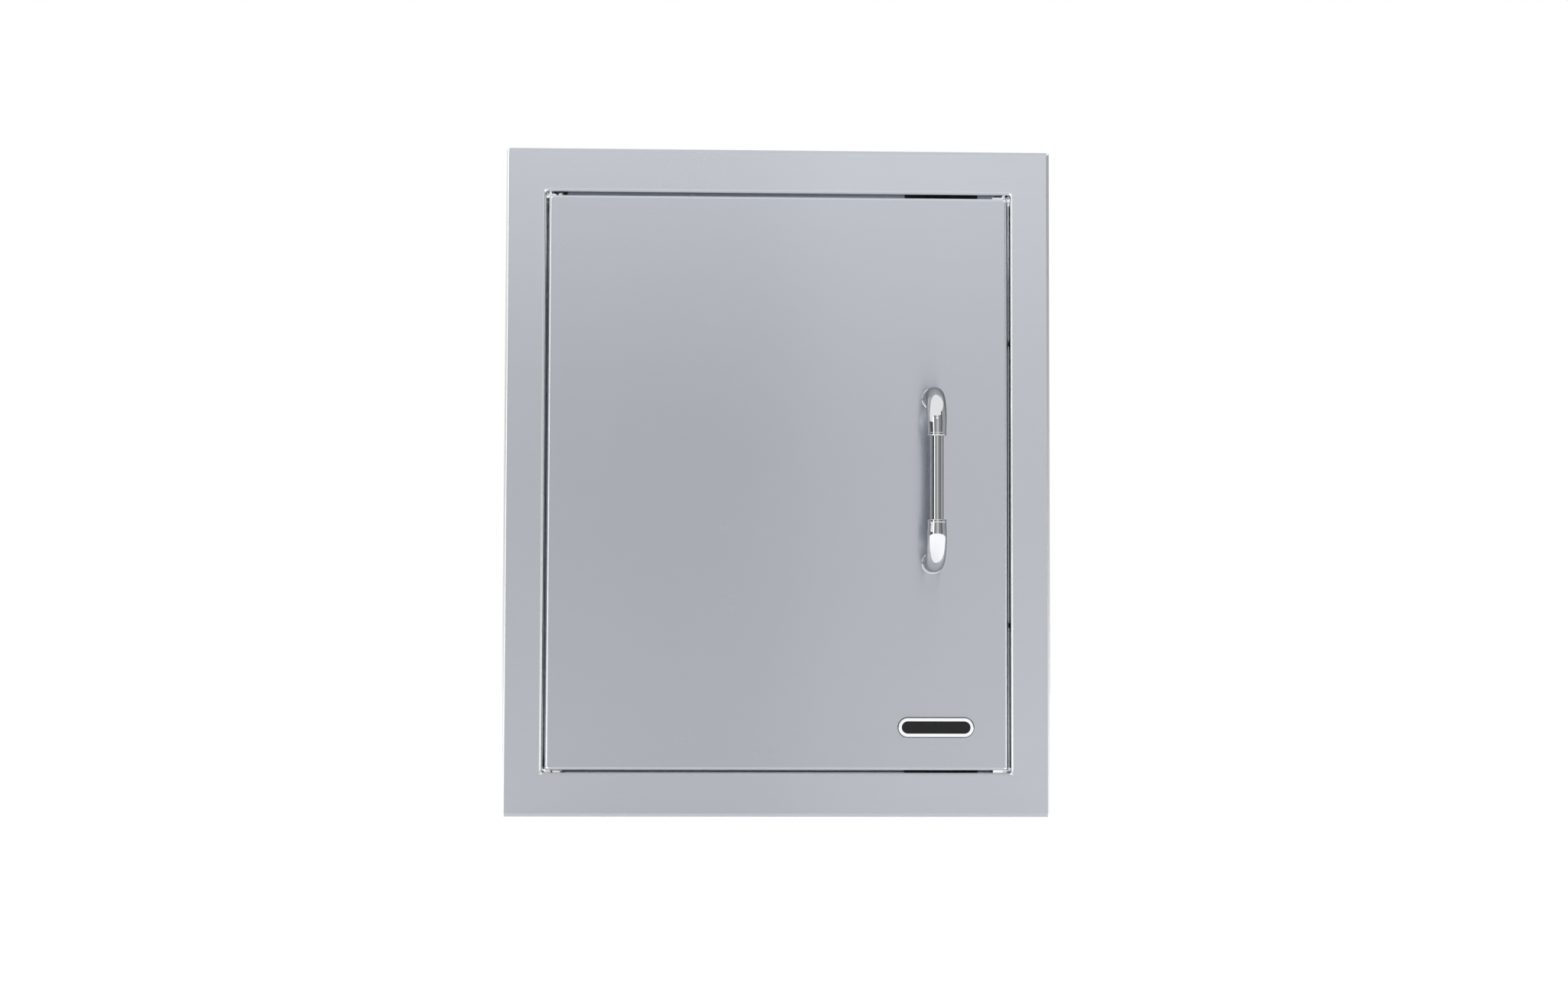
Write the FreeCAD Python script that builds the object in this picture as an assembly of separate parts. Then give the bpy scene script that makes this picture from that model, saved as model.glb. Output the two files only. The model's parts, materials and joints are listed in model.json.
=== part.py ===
import FreeCAD, Part
import math
import os

# Access door for a masonry or framed barbecue island, in millimetres.
# X runs right, Y runs back into the island and Z runs up. The origin is the
# centre of the opening, on the plane where the frame's rim meets the wall.

V = FreeCAD.Vector
EDGE_TOLERANCE = 0.001

# Face frame: one folded sheet with a flange, an outer rim and a jamb
frame_width = 457.2
frame_height = 558.8
side_flange = 33.6
top_flange = 36.7
bottom_flange = 36.7
rim_depth = 6.4
jamb_depth = 56.0
frame_sheet = 1.2
frame_bend = 2.4
rim_bend = 3.0
frame_corner = 2.0
opening_corner = 1.5
jamb_screw_radius = 2.25
jamb_screw_from_end = 53.0
jamb_screw_from_back = 9.0

# Gaps between the door and the jamb
side_gap = 2.6
top_gap = 3.2
bottom_gap = 2.2

# Door: a folded outer skin closed by a flat liner with a pressed field
door_depth = 19.0
skin_sheet = 1.0
skin_bend = 2.2
skin_corner = 1.6
lip_width = 10.0
liner_sheet = 0.8
liner_inset = 2.0
liner_corner = 4.0
field_depth = 2.5
field_slope = 4.0
field_side_margin = 44.0
field_end_margin = 40.0
field_corner = 14.0
rivet_radius = 1.6
rivet_head_radius = 3.2
rivet_head_height = 0.9
rivet_crown = 0.7
rivet_tail = 2.4
rivet_edge = 5.0
rivet_end_margin = 80.0
rivets_per_side = 5
end_rivets = 3
end_rivet_pitch = 80.0
end_rivets_from_hinge_edge = 149.0

# Stiffening channels between the skin and the liner
channel_width = 22.0
channel_foot = 8.0
channel_sheet = 0.8
channel_end_margin = 12.0
channel_from_hinge_edge = 112.0
channel_from_latch_edge = 136.0

# Door stop angles behind the door
stop_gap = 4.5
stop_leg = 12.0
hinge_stop_leg = 7.0
stop_foot = 14.0
stop_sheet = 1.2
bumper_radius = 4.75
bumper_stem_radius = 2.2
bumper_stem_length = 3.4
bumper_from_end = 123.0
bumper_crown = 1.2

# Pivot axis, from the door's hinge edge and from its face
pivot_inset = 9.4
pivot_setback = 7.0
pin_radius = 3.0
pin_chamfer = 0.8
plate_thickness = 3.0
plate_width = 40.0
plate_depth = 30.0
plate_front_margin = 0.2
bush_wall = 0.8
bush_flange_radius = 5.5
bush_flange_height = 1.0
washer_radius = 5.5
washer_height = 1.0
shoulder_radius = 5.0
lower_pin_reach = 16.0
upper_pin_rise = 1.0
block_width = 18.0
guide_height = 12.0
lower_block_height = 18.0
lower_bush_wall = 1.4
pivot_edge_chamfer = 1.5

# Retractable upper pin, with its bracket, spring and finger knob
pin_travel = 9.0
bracket_drop = 13.6
bracket_height = 45.0
bracket_sheet = 3.0
bracket_web = 2.0
bracket_reach = 15.0
pin_tail = 4.0
stop_ring_radius = 5.0
stop_ring_height = 6.0
spring_wire_radius = 0.4
spring_mean_radius = 4.2
spring_turns = 8
knob_radius = 1.5
knob_head_radius = 3.2
knob_head_length = 4.0
knob_reach = 8.0
knob_depth_in_pin = 1.8
knob_edge = 0.75
slot_end_room = 1.0
slot_side_room = 0.5

# Magnetic catches at the latch side
catch_from_edge = 53.4
catch_width = 62.0
catch_body_width = 46.0
catch_height = 17.0
catch_depth = 18.0
catch_plate = 2.0
catch_edge = 1.0
magnet_width = 36.0
magnet_height = 6.0
magnet_depth = 12.0
pole_sheet = 1.5
pole_reach = 0.7
pole_from_jamb = 10.0
catch_screw_radius = 1.5
catch_screw_head = 2.8
catch_screw_length = 8.0
strike_width = 56.0
strike_height = 12.0
strike_sheet = 1.5
strike_screw_spacing = 40.0
strike_screw_radius = 1.4
strike_screw_head = 2.6
strike_screw_length = 5.0

# Handle: two cast elbows with a tube between them
handle_from_edge = 63.1
handle_height = 0.8
handle_length = 154.0
handle_standoff = 41.0
grip_length = 69.0
grip_radius = 5.55
grip_wall = 1.2
grip_socket_depth = 12.0
elbow_radius = 8.1
elbow_bend = 24.0
collar_radius = 7.4
lip_ring_radius = 7.9
lip_ring_height = 2.6
lip_ring_edge = 0.6
handle_screw_radius = 2.5
handle_screw_head_radius = 4.5
handle_screw_head_height = 3.0
handle_screw_crown = 1.0
handle_screw_length = 18.0
handle_washer_radius = 5.0
handle_washer_sheet = 1.0
backing_width = 32.0
backing_overhang = 16.0
backing_sheet = 2.0

# Badge: a plain stadium rim with a dark inlay
badge_from_edge = 60.0
badge_above_edge = 35.5
badge_width = 63.1
badge_height = 16.0
badge_sheet = 1.8
badge_rim = 2.8
badge_recess = 0.9
badge_edge = 0.6
inlay_sheet = 0.7
badge_stud_radius = 1.2
badge_stud_length = 3.0
badge_stud_spacing = 36.0

# Corner of a round end, as a share of half its width, so that its arcs stay apart
round_end = 0.999

# Clearances
running_clearance = 0.05
seat_clearance = 0.1
stop_clearance = 0.3
hole_clearance = 0.2

# Places worked out from the sizes above
opening_width = frame_width - 2 * side_flange
opening_height = frame_height - top_flange - bottom_flange
opening_right = opening_width / 2
opening_left = -opening_right
opening_top = opening_height / 2
opening_bottom = -opening_top
face_y = -rim_depth
jamb_back = face_y + jamb_depth

door_left = opening_left + side_gap
door_right = opening_right - side_gap
door_top = opening_top - top_gap
door_bottom = opening_bottom + bottom_gap
skin_inner = face_y + skin_sheet
lip_back = face_y + door_depth
lip_front = lip_back - skin_sheet
door_back = lip_back + liner_sheet
field_front = lip_back - field_depth
stop_front = door_back + stop_gap

pivot_x = door_left + pivot_inset
pivot_y = face_y + pivot_setback
block_left = door_left + skin_sheet
block_right = block_left + block_width
guide_top = door_top - skin_sheet
guide_bottom = guide_top - guide_height
bracket_top = guide_top - bracket_drop
bracket_bottom = bracket_top - bracket_height
ring_top = bracket_top - bracket_sheet - stop_clearance
ring_bottom = ring_top - stop_ring_height
spring_seat = bracket_bottom + bracket_sheet
knob_z = (ring_top + ring_bottom) / 2

catch_x = door_right - catch_from_edge
catch_front = stop_front - catch_plate
pole_front = catch_front - pole_reach
pole_z = opening_top - pole_from_jamb
strike_back = door_back + strike_sheet

bumper_z = opening_top - bumper_from_end
jamb_screw_z = opening_top - jamb_screw_from_end
handle_x = door_right - handle_from_edge
bar_y = face_y - handle_standoff
handle_top = handle_height + handle_length / 2
foot_z = handle_top - elbow_radius
lip_ring_z = handle_height + grip_length / 2
badge_x = door_right - badge_from_edge
badge_z = door_bottom + badge_above_edge


def box(x0, x1, y0, y1, z0, z1):
    """A plain block between two corners."""
    return Part.makeBox(x1 - x0, y1 - y0, z1 - z0, V(x0, y0, z0))


def rod(radius, start, direction, length):
    """A cylinder from a start point along a direction."""
    return Part.makeCylinder(radius, length, start, direction)


def outline(x0, x1, z0, z1, y, corner):
    """A rectangle with round corners, as a wire in a plane across Y."""
    reach = corner * (1 - math.sqrt(0.5))
    corners = (
        (V(x1 - corner, y, z0), V(x1 - reach, y, z0 + reach), V(x1, y, z0 + corner)),
        (V(x1, y, z1 - corner), V(x1 - reach, y, z1 - reach), V(x1 - corner, y, z1)),
        (V(x0 + corner, y, z1), V(x0 + reach, y, z1 - reach), V(x0, y, z1 - corner)),
        (V(x0, y, z0 + corner), V(x0 + reach, y, z0 + reach), V(x0 + corner, y, z0)),
    )
    edges = []
    for index, (first, middle, last) in enumerate(corners):
        edges.append(Part.Arc(first, middle, last).toShape())
        following = corners[(index + 1) % len(corners)][0]
        if last.distanceToPoint(following) > EDGE_TOLERANCE:
            edges.append(Part.LineSegment(last, following).toShape())
    return Part.Wire(edges)


def slab(x0, x1, y0, y1, z0, z1, corner):
    """A block whose four edges along Y are rounded."""
    return Part.Face(outline(x0, x1, z0, z1, y0, corner)).extrude(V(0, y1 - y0, 0))


def edges_at(shape, y):
    """The edges that lie in one plane across Y."""
    found = []
    for edge in shape.Edges:
        bounds = edge.BoundBox
        if abs(bounds.YMin - y) < EDGE_TOLERANCE and abs(bounds.YMax - y) < EDGE_TOLERANCE:
            found.append(edge)
    return found


def edges_within(edges, x_limit, z_limit):
    """Of some edges, those inside a rectangle about the opening's centre."""
    found = []
    for edge in edges:
        bounds = edge.BoundBox
        across = max(-bounds.XMin, bounds.XMax)
        along = max(-bounds.ZMin, bounds.ZMax)
        if across < x_limit and along < z_limit:
            found.append(edge)
    return found


def mirrored(shape, z=0.0):
    """The same piece the other way up, about a level."""
    return shape.mirror(V(0, 0, z), V(0, 0, 1))


def group(shapes):
    """Separate solids that share one node."""
    return Part.makeCompound(shapes)


def countersunk_screw(radius, head_radius, length, start, direction):
    """A screw with a flush conical head, whose head face is at the start."""
    head_height = head_radius - radius
    head = Part.makeCone(head_radius, radius, head_height, start, direction)
    return head.fuse(rod(radius, start, direction, length)).removeSplitter()


def countersink(radius, head_radius, length, start, direction):
    """The hole that a countersunk screw needs."""
    wide = radius + hole_clearance
    mouth = head_radius + hole_clearance
    cone = Part.makeCone(mouth, wide, mouth - wide, start, direction)
    return cone.fuse(rod(wide, start, direction, length))


def frame_holes():
    """Screw holes in the jamb's sides and the pivot holes in its ends."""
    y = jamb_back - jamb_screw_from_back
    across = opening_width + 4 * frame_sheet
    cuts = []
    for z in (-jamb_screw_z, jamb_screw_z):
        start = V(opening_left - 2 * frame_sheet, y, z)
        cuts.append(rod(jamb_screw_radius, start, V(1, 0, 0), across))
    bush_radius = pin_radius + running_clearance + bush_wall + seat_clearance
    above = V(pivot_x, pivot_y, opening_top - frame_sheet)
    below = V(pivot_x, pivot_y, opening_bottom - 2 * frame_sheet)
    cuts.append(rod(bush_radius, above, V(0, 0, 1), 3 * frame_sheet))
    cuts.append(rod(pin_radius + seat_clearance, below, V(0, 0, 1), 3 * frame_sheet))
    return cuts


def make_face_frame():
    """Flange, rim and jamb, folded from one sheet with round bends."""
    left = -frame_width / 2
    bottom = opening_bottom - bottom_flange
    top = opening_top + top_flange
    inner_bend = frame_bend - frame_sheet
    s = frame_sheet
    tray = slab(left, -left, face_y, 0, bottom, top, frame_corner)
    tray = tray.makeFillet(rim_bend, edges_at(tray, face_y))
    inner_corner = max(frame_corner - s, s / 4)
    hollow = slab(left + s, -left - s, face_y + s, 0, bottom + s, top - s, inner_corner)
    hollow = hollow.makeFillet(rim_bend - s, edges_at(hollow, face_y + s))
    jamb = slab(opening_left - s, opening_right + s, face_y + s / 2, jamb_back,
                opening_bottom - s, opening_top + s, opening_corner + s)
    body = tray.cut(hollow).fuse(jamb).removeSplitter()
    folds = edges_within(edges_at(body, face_y + s), opening_right + 2 * s, opening_top + 2 * s)
    body = body.makeFillet(inner_bend, folds)
    body = body.cut(slab(opening_left, opening_right, face_y - s, jamb_back + s,
                         opening_bottom, opening_top, opening_corner))
    folds = edges_within(edges_at(body, face_y), opening_right + s, opening_top + s)
    body = body.makeFillet(frame_bend, folds)
    for cut in frame_holes():
        body = body.cut(cut)
    return body


def angle_section(length, leg):
    """A folded angle along Z: its leg faces the door and its foot lies on the jamb."""
    across = box(0, leg, 0, stop_sheet, 0, length)
    along = box(0, stop_sheet, 0, stop_foot, 0, length)
    body = across.fuse(along).removeSplitter()
    outer = [e for e in body.Edges if e.BoundBox.ZLength > length / 2
             and e.BoundBox.XMax < EDGE_TOLERANCE and e.BoundBox.YMax < EDGE_TOLERANCE]
    return body.makeFillet(stop_sheet, outer)


def make_side_stop(leg, right):
    """The stop angle on one side of the jamb, as tall as the opening."""
    body = angle_section(opening_height - 2 * opening_corner, leg)
    body.translate(V(opening_left, stop_front, opening_bottom + opening_corner))
    if not right:
        return body
    body = body.mirror(V(0, 0, 0), V(1, 0, 0))
    for z in (-bumper_z, bumper_z):
        start = V(opening_right - leg / 2, stop_front - stop_sheet, z)
        body = body.cut(rod(bumper_stem_radius + seat_clearance, start, V(0, 1, 0), 3 * stop_sheet))
    return body


def make_end_stop():
    """The upper stop angle, between the side angles, notched for its catch."""
    start_x = opening_left + hinge_stop_leg + seat_clearance
    end_x = opening_right - stop_leg - seat_clearance
    body = angle_section(end_x - start_x, stop_leg)
    body.rotate(V(0, 0, 0), V(0, 1, 0), 90)
    body.translate(V(start_x, stop_front, opening_top))
    half = catch_body_width / 2 + seat_clearance
    body = body.cut(box(catch_x - half, catch_x + half, stop_front - 1,
                        stop_front + stop_sheet + 1, opening_top - stop_leg - 1,
                        opening_top - stop_sheet))
    for x in catch_screw_places():
        start = V(x, stop_front - stop_sheet, catch_screw_z())
        wide = catch_screw_radius + hole_clearance
        body = body.cut(rod(wide, start, V(0, 1, 0), 3 * stop_sheet))
    return body


def make_bumpers():
    """Push-in rubber buffers on the latch-side stop angle."""
    height = stop_gap - stop_clearance
    pieces = []
    for z in (-bumper_z, bumper_z):
        start = V(opening_right - stop_leg / 2, stop_front, z)
        dome = rod(bumper_radius, start, V(0, -1, 0), height)
        dome = dome.makeFillet(bumper_crown, edges_at(dome, stop_front - height))
        stem = rod(bumper_stem_radius, start, V(0, 1, 0), bumper_stem_length)
        pieces.append(dome.fuse(stem).removeSplitter())
    return group(pieces)


def catch_screw_places():
    """Where the catch's two screws sit across the door."""
    offset = (catch_width + catch_body_width) / 4
    return (catch_x - offset, catch_x + offset)


def catch_screw_z():
    """The height of the upper catch's screws, at the middle of the stop leg."""
    return opening_top - (stop_leg + stop_sheet) / 2


def make_catch_case():
    """Moulded catch case: a front plate on the stop leg, and a body behind it."""
    top = opening_top - seat_clearance
    bottom = opening_top - catch_height
    half = catch_width / 2
    plate = slab(catch_x - half, catch_x + half, catch_front, stop_front,
                 bottom, top, catch_edge)
    half = catch_body_width / 2
    body = slab(catch_x - half, catch_x + half, catch_front,
                catch_front + catch_depth, bottom,
                opening_top - stop_sheet - seat_clearance, catch_edge)
    case = plate.fuse(body).removeSplitter()
    half = magnet_width / 2 + seat_clearance
    rise = magnet_height / 2 + pole_sheet + seat_clearance
    depth = magnet_depth + seat_clearance
    case = case.cut(box(catch_x - half, catch_x + half, catch_front - 1,
                        catch_front + depth, pole_z - rise, pole_z + rise))
    for x in catch_screw_places():
        start = V(x, catch_front, catch_screw_z())
        case = case.cut(countersink(catch_screw_radius, catch_screw_head,
                                    catch_screw_length, start, V(0, 1, 0)))
    return case


def make_magnet():
    """Ferrite block in the upper catch."""
    half = magnet_width / 2
    rise = magnet_height / 2
    return box(catch_x - half, catch_x + half, catch_front,
               catch_front + magnet_depth, pole_z - rise, pole_z + rise)


def make_pole_plates():
    """Two steel plates, above and below each magnet, that reach out to the strike."""
    half = magnet_width / 2
    rise = magnet_height / 2
    lower = box(catch_x - half, catch_x + half, pole_front,
                catch_front + magnet_depth, pole_z - rise - pole_sheet, pole_z - rise)
    upper = lower.translated(V(0, 0, magnet_height + pole_sheet))
    return group([lower, upper, mirrored(lower), mirrored(upper)])


def make_catch_screws():
    """Countersunk screws that hold both cases on their stop angles."""
    pieces = []
    for x in catch_screw_places():
        start = V(x, catch_front, catch_screw_z())
        screw = countersunk_screw(catch_screw_radius, catch_screw_head,
                                  catch_screw_length, start, V(0, 1, 0))
        pieces.extend([screw, mirrored(screw)])
    return group(pieces)


def strike_screw_places():
    """Where each strike plate's two screws sit across the door."""
    return (catch_x - strike_screw_spacing / 2, catch_x + strike_screw_spacing / 2)


def make_strike():
    """Steel strike plate on the back of the door, facing the upper catch."""
    half = strike_width / 2
    rise = strike_height / 2
    plate = slab(catch_x - half, catch_x + half, door_back, strike_back,
                 pole_z - rise, pole_z + rise, catch_edge)
    for x in strike_screw_places():
        start = V(x, strike_back, pole_z)
        plate = plate.cut(countersink(strike_screw_radius, strike_screw_head,
                                      strike_screw_length, start, V(0, -1, 0)))
    return plate


def make_strike_screws():
    """Countersunk screws through both strikes, the liner and the skin's lip."""
    pieces = []
    for x in strike_screw_places():
        screw = countersunk_screw(strike_screw_radius, strike_screw_head,
                                  strike_screw_length, V(x, strike_back, pole_z), V(0, -1, 0))
        pieces.extend([screw, mirrored(screw)])
    return group(pieces)


def strike_screw_holes():
    """Holes for the strike screws in the liner and the skin."""
    wide = strike_screw_radius + hole_clearance
    cuts = []
    for x in strike_screw_places():
        for z in (-pole_z, pole_z):
            cuts.append(rod(wide, V(x, strike_back, z), V(0, -1, 0), strike_screw_length + 1))
    return cuts


def pivot_plate():
    """Doubler on top of the jamb, under the upper pivot's bush."""
    front = face_y + frame_bend + plate_front_margin
    low = opening_top + frame_sheet
    left = opening_left
    plate = box(left, left + plate_width, front, front + plate_depth, low, low + plate_thickness)
    corners = [e for e in plate.Edges if e.BoundBox.ZLength > plate_thickness / 2
               and e.BoundBox.YMin > front + plate_depth / 2]
    return plate.makeFillet(pivot_edge_chamfer, corners)


def make_upper_plate():
    """The upper pivot plate, bored for the flanged bush."""
    wide = pin_radius + running_clearance + bush_wall + seat_clearance
    start = V(pivot_x, pivot_y, opening_top)
    return pivot_plate().cut(rod(wide, start, V(0, 0, 1), plate_thickness + 3 * frame_sheet))


def make_lower_plate():
    """The lower pivot plate, bored for the fixed pin."""
    start = V(pivot_x, pivot_y, opening_bottom)
    hole = rod(pin_radius + seat_clearance, start, V(0, 0, -1), plate_thickness + 3 * frame_sheet)
    return mirrored(pivot_plate()).cut(hole)


def make_upper_bush():
    """Flanged bush that the retractable pin turns in."""
    base = V(pivot_x, pivot_y, opening_top)
    length = frame_sheet + plate_thickness
    radius = pin_radius + running_clearance
    sleeve = rod(radius + bush_wall, base, V(0, 0, 1), length)
    flange = rod(bush_flange_radius, base, V(0, 0, -1), bush_flange_height)
    low = base - V(0, 0, bush_flange_height + 1)
    bore = rod(radius, low, V(0, 0, 1), length + bush_flange_height + 2)
    return sleeve.fuse(flange).removeSplitter().cut(bore)


def make_lower_pin():
    """Fixed pin with a shoulder, riveted through the jamb and its plate."""
    low = opening_bottom - frame_sheet - plate_thickness
    height = lower_pin_reach + door_bottom - low
    shaft = rod(pin_radius, V(pivot_x, pivot_y, low), V(0, 0, 1), height)
    shaft = shaft.makeChamfer(pin_chamfer, [e for e in shaft.Edges
                                            if e.BoundBox.ZMin > low + height - EDGE_TOLERANCE])
    rise = bottom_gap - washer_height - hole_clearance
    shoulder = rod(shoulder_radius, V(pivot_x, pivot_y, opening_bottom), V(0, 0, 1), rise)
    return shaft.fuse(shoulder).removeSplitter()


def make_thrust_washer():
    """Plastic washer between the lower pin's shoulder and the door."""
    low = door_bottom - hole_clearance - washer_height
    ring = rod(washer_radius, V(pivot_x, pivot_y, low), V(0, 0, 1), washer_height)
    bore = rod(pin_radius + seat_clearance, V(pivot_x, pivot_y, low - 1), V(0, 0, 1),
               washer_height + 2)
    return ring.cut(bore)


def handle_screw_places():
    """The heights of the two handle screws, on the elbows' feet."""
    return (2 * handle_height - foot_z, foot_z)


def badge_stud_places():
    """Where the badge's two studs pass the skin."""
    return (badge_x - badge_stud_spacing / 2, badge_x + badge_stud_spacing / 2)


def make_door_skin():
    """Outer skin: a tray with round folds, and lips turned in at the back."""
    s = skin_sheet
    tray = slab(door_left, door_right, face_y, lip_back, door_bottom, door_top, skin_corner)
    tray = tray.makeFillet(skin_bend, edges_at(tray, face_y) + edges_at(tray, lip_back))
    inner_corner = max(skin_corner - s, s / 4)
    hollow = slab(door_left + s, door_right - s, skin_inner, lip_front,
                  door_bottom + s, door_top - s, inner_corner)
    hollow = hollow.makeFillet(skin_bend - s,
                               edges_at(hollow, skin_inner) + edges_at(hollow, lip_front))
    mouth = box(door_left + lip_width, door_right - lip_width, lip_front - 1, lip_back + 1,
                door_bottom + lip_width, door_top - lip_width)
    skin = tray.cut(hollow).cut(mouth)
    upper = V(pivot_x, pivot_y, door_top + 1)
    lower = V(pivot_x, pivot_y, door_bottom - 1)
    bush_radius = pin_radius + running_clearance + lower_bush_wall + seat_clearance
    skin = skin.cut(rod(pin_radius + hole_clearance, upper, V(0, 0, -1), s + 2))
    skin = skin.cut(rod(bush_radius, lower, V(0, 0, 1), s + 2))
    for z in handle_screw_places():
        start = V(handle_x, face_y - 1, z)
        skin = skin.cut(rod(handle_screw_radius + hole_clearance, start, V(0, 1, 0), s + 2))
    for x in badge_stud_places():
        start = V(x, face_y - 1, badge_z)
        skin = skin.cut(rod(badge_stud_radius + hole_clearance, start, V(0, 1, 0), s + 2))
    for cut in strike_screw_holes() + rivet_holes() + [knob_slot()]:
        skin = skin.cut(cut)
    return skin


def field_block(y0, depth):
    """The bevelled block that shapes the liner's pressed field."""
    x1 = door_right - field_side_margin
    z0 = door_bottom + field_end_margin
    z1 = door_top - field_end_margin
    mouth = outline(-x1, x1, z0, z1, y0, field_corner)
    g = field_slope
    floor = outline(-x1 + g, x1 - g, z0 + g, z1 - g, y0 - depth, max(field_corner - g, g))
    return Part.makeLoft([mouth, floor], True, True)


def knob_slot():
    """The slot that the finger knob travels in, through the lip and the liner."""
    half = knob_radius + slot_side_room
    top = knob_z + knob_radius + slot_end_room
    bottom = knob_z - pin_travel - knob_radius - slot_end_room
    return slab(pivot_x - half, pivot_x + half, lip_front - 1, door_back + 1,
                bottom, top, half * round_end)


def make_liner():
    """Back liner with its pressed field and the slot for the finger knob."""
    g = liner_inset
    plate = slab(door_left + g, door_right - g, lip_back, door_back,
                 door_bottom + g, door_top - g, liner_corner)
    liner = plate.fuse(field_block(lip_back, field_depth)).cut(field_block(door_back, field_depth))
    for cut in strike_screw_holes() + rivet_holes() + [knob_slot()]:
        liner = liner.cut(cut)
    return liner


def rivet_places():
    """Centres of the liner's rivets, up both sides and along both ends."""
    places = []
    low = door_bottom + rivet_end_margin
    pitch = (door_top - rivet_end_margin - low) / (rivets_per_side - 1)
    for index in range(rivets_per_side):
        z = low + index * pitch
        places.append((door_left + rivet_edge, z))
        places.append((door_right - rivet_edge, z))
    middle = door_left + end_rivets_from_hinge_edge
    for index in range(end_rivets):
        x = middle + (index - (end_rivets - 1) / 2) * end_rivet_pitch
        places.append((x, door_top - rivet_edge))
        places.append((x, door_bottom + rivet_edge))
    return places


def rivet_holes():
    """Holes for the rivets in the liner and the skin's lip."""
    cuts = []
    for x, z in rivet_places():
        wide = rivet_radius + seat_clearance
        cuts.append(rod(wide, V(x, door_back + 1, z), V(0, -1, 0), liner_sheet + skin_sheet + 2))
    return cuts


def make_rivets():
    """Domed rivets that close the liner on the skin's lips."""
    pieces = []
    for x, z in rivet_places():
        start = V(x, door_back, z)
        shank = rod(rivet_radius, start, V(0, -1, 0), liner_sheet + skin_sheet + rivet_tail)
        head = rod(rivet_head_radius, start, V(0, 1, 0), rivet_head_height)
        head = head.makeFillet(rivet_crown, edges_at(head, door_back + rivet_head_height))
        pieces.append(shank.fuse(head).removeSplitter())
    return group(pieces)


def make_channel(x):
    """Hat channel that stands between the skin and the liner's field."""
    low = door_bottom + skin_sheet + channel_end_margin
    high = door_top - skin_sheet - channel_end_margin
    half = channel_width / 2
    s = channel_sheet
    low_field = door_bottom + field_end_margin + field_slope
    high_field = door_top - field_end_margin - field_slope
    low = max(low, low_field)
    high = min(high, high_field)
    hat = box(x - half, x + half, skin_inner, field_front, low, high)
    hat = hat.cut(box(x - half + s, x + half - s, skin_inner, field_front - s, low, high))
    foot = channel_foot + half
    feet = box(x - foot, x + foot, skin_inner, skin_inner + s, low, high)
    feet = feet.cut(box(x - half + s, x + half - s, skin_inner, skin_inner + s, low, high))
    return hat.fuse(feet).removeSplitter()


def make_upper_guide():
    """Plastic guide block under the skin's top fold."""
    block = box(block_left, block_right, skin_inner, lip_front, guide_bottom, guide_top)
    bore = rod(pin_radius + running_clearance, V(pivot_x, pivot_y, guide_bottom - 1),
               V(0, 0, 1), guide_height + 2)
    return softened_block(block).cut(bore)


def softened_block(block):
    """A pivot block with all its edges chamfered, to clear the skin's folds."""
    return block.makeChamfer(pivot_edge_chamfer, block.Edges)


def make_spring_bracket():
    """Bracket with two lugs that guide the pin and carry its spring."""
    back = skin_inner + bracket_reach
    web = box(block_left, block_left + bracket_web, skin_inner, back, bracket_bottom, bracket_top)
    upper = box(block_left, block_right, skin_inner, back, bracket_top - bracket_sheet, bracket_top)
    lower = box(block_left, block_right, skin_inner, back, bracket_bottom, spring_seat)
    body = web.fuse([upper, lower]).removeSplitter()
    uprights = [e for e in body.Edges if e.BoundBox.ZLength > bracket_sheet / 2
                and e.BoundBox.XLength < EDGE_TOLERANCE and e.BoundBox.YLength < EDGE_TOLERANCE]
    body = body.makeChamfer(pivot_edge_chamfer, [e for e in uprights
                                                 if e.BoundBox.YMax < skin_inner + EDGE_TOLERANCE])
    bore = rod(pin_radius + running_clearance, V(pivot_x, pivot_y, bracket_bottom - 1),
               V(0, 0, 1), bracket_height + 2)
    return body.cut(bore)


def make_lower_block():
    """Pivot block above the skin's bottom fold, bored for its bush."""
    low = door_bottom + skin_sheet
    block = box(block_left, block_right, skin_inner, lip_front, low, low + lower_block_height)
    radius = pin_radius + running_clearance + lower_bush_wall + seat_clearance
    bore = rod(radius, V(pivot_x, pivot_y, low - 1), V(0, 0, 1), lower_block_height + 2)
    return softened_block(block).cut(bore)


def make_lower_bush():
    """Plain bush that turns on the fixed lower pin."""
    radius = pin_radius + running_clearance
    height = skin_sheet + lower_block_height
    base = V(pivot_x, pivot_y, door_bottom)
    sleeve = rod(radius + lower_bush_wall, base, V(0, 0, 1), height)
    return sleeve.cut(rod(radius, base - V(0, 0, 1), V(0, 0, 1), height + 2))


def make_upper_pin():
    """Round pin, chamfered at the top and drilled for the finger knob."""
    top = opening_top + frame_sheet + plate_thickness + upper_pin_rise
    low = bracket_bottom - pin_tail
    shaft = rod(pin_radius, V(pivot_x, pivot_y, low), V(0, 0, 1), top - low)
    shaft = shaft.makeChamfer(pin_chamfer, [e for e in shaft.Edges
                                            if e.BoundBox.ZMin > top - EDGE_TOLERANCE])
    hole = rod(knob_radius + running_clearance,
               V(pivot_x, pivot_y + pin_radius - knob_depth_in_pin - running_clearance, knob_z),
               V(0, 1, 0), knob_depth_in_pin + 1)
    return shaft.cut(hole)


def make_stop_ring():
    """Ring on the pin, between the spring and the bracket's upper lug."""
    base = V(pivot_x, pivot_y, ring_bottom)
    ring = rod(stop_ring_radius, base, V(0, 0, 1), stop_ring_height)
    ring = ring.cut(rod(pin_radius + running_clearance, base - V(0, 0, 1), V(0, 0, 1),
                        stop_ring_height + 2))
    return ring.cut(rod(knob_radius + running_clearance, V(pivot_x, pivot_y, knob_z),
                        V(0, 1, 0), stop_ring_radius + 1))


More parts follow.
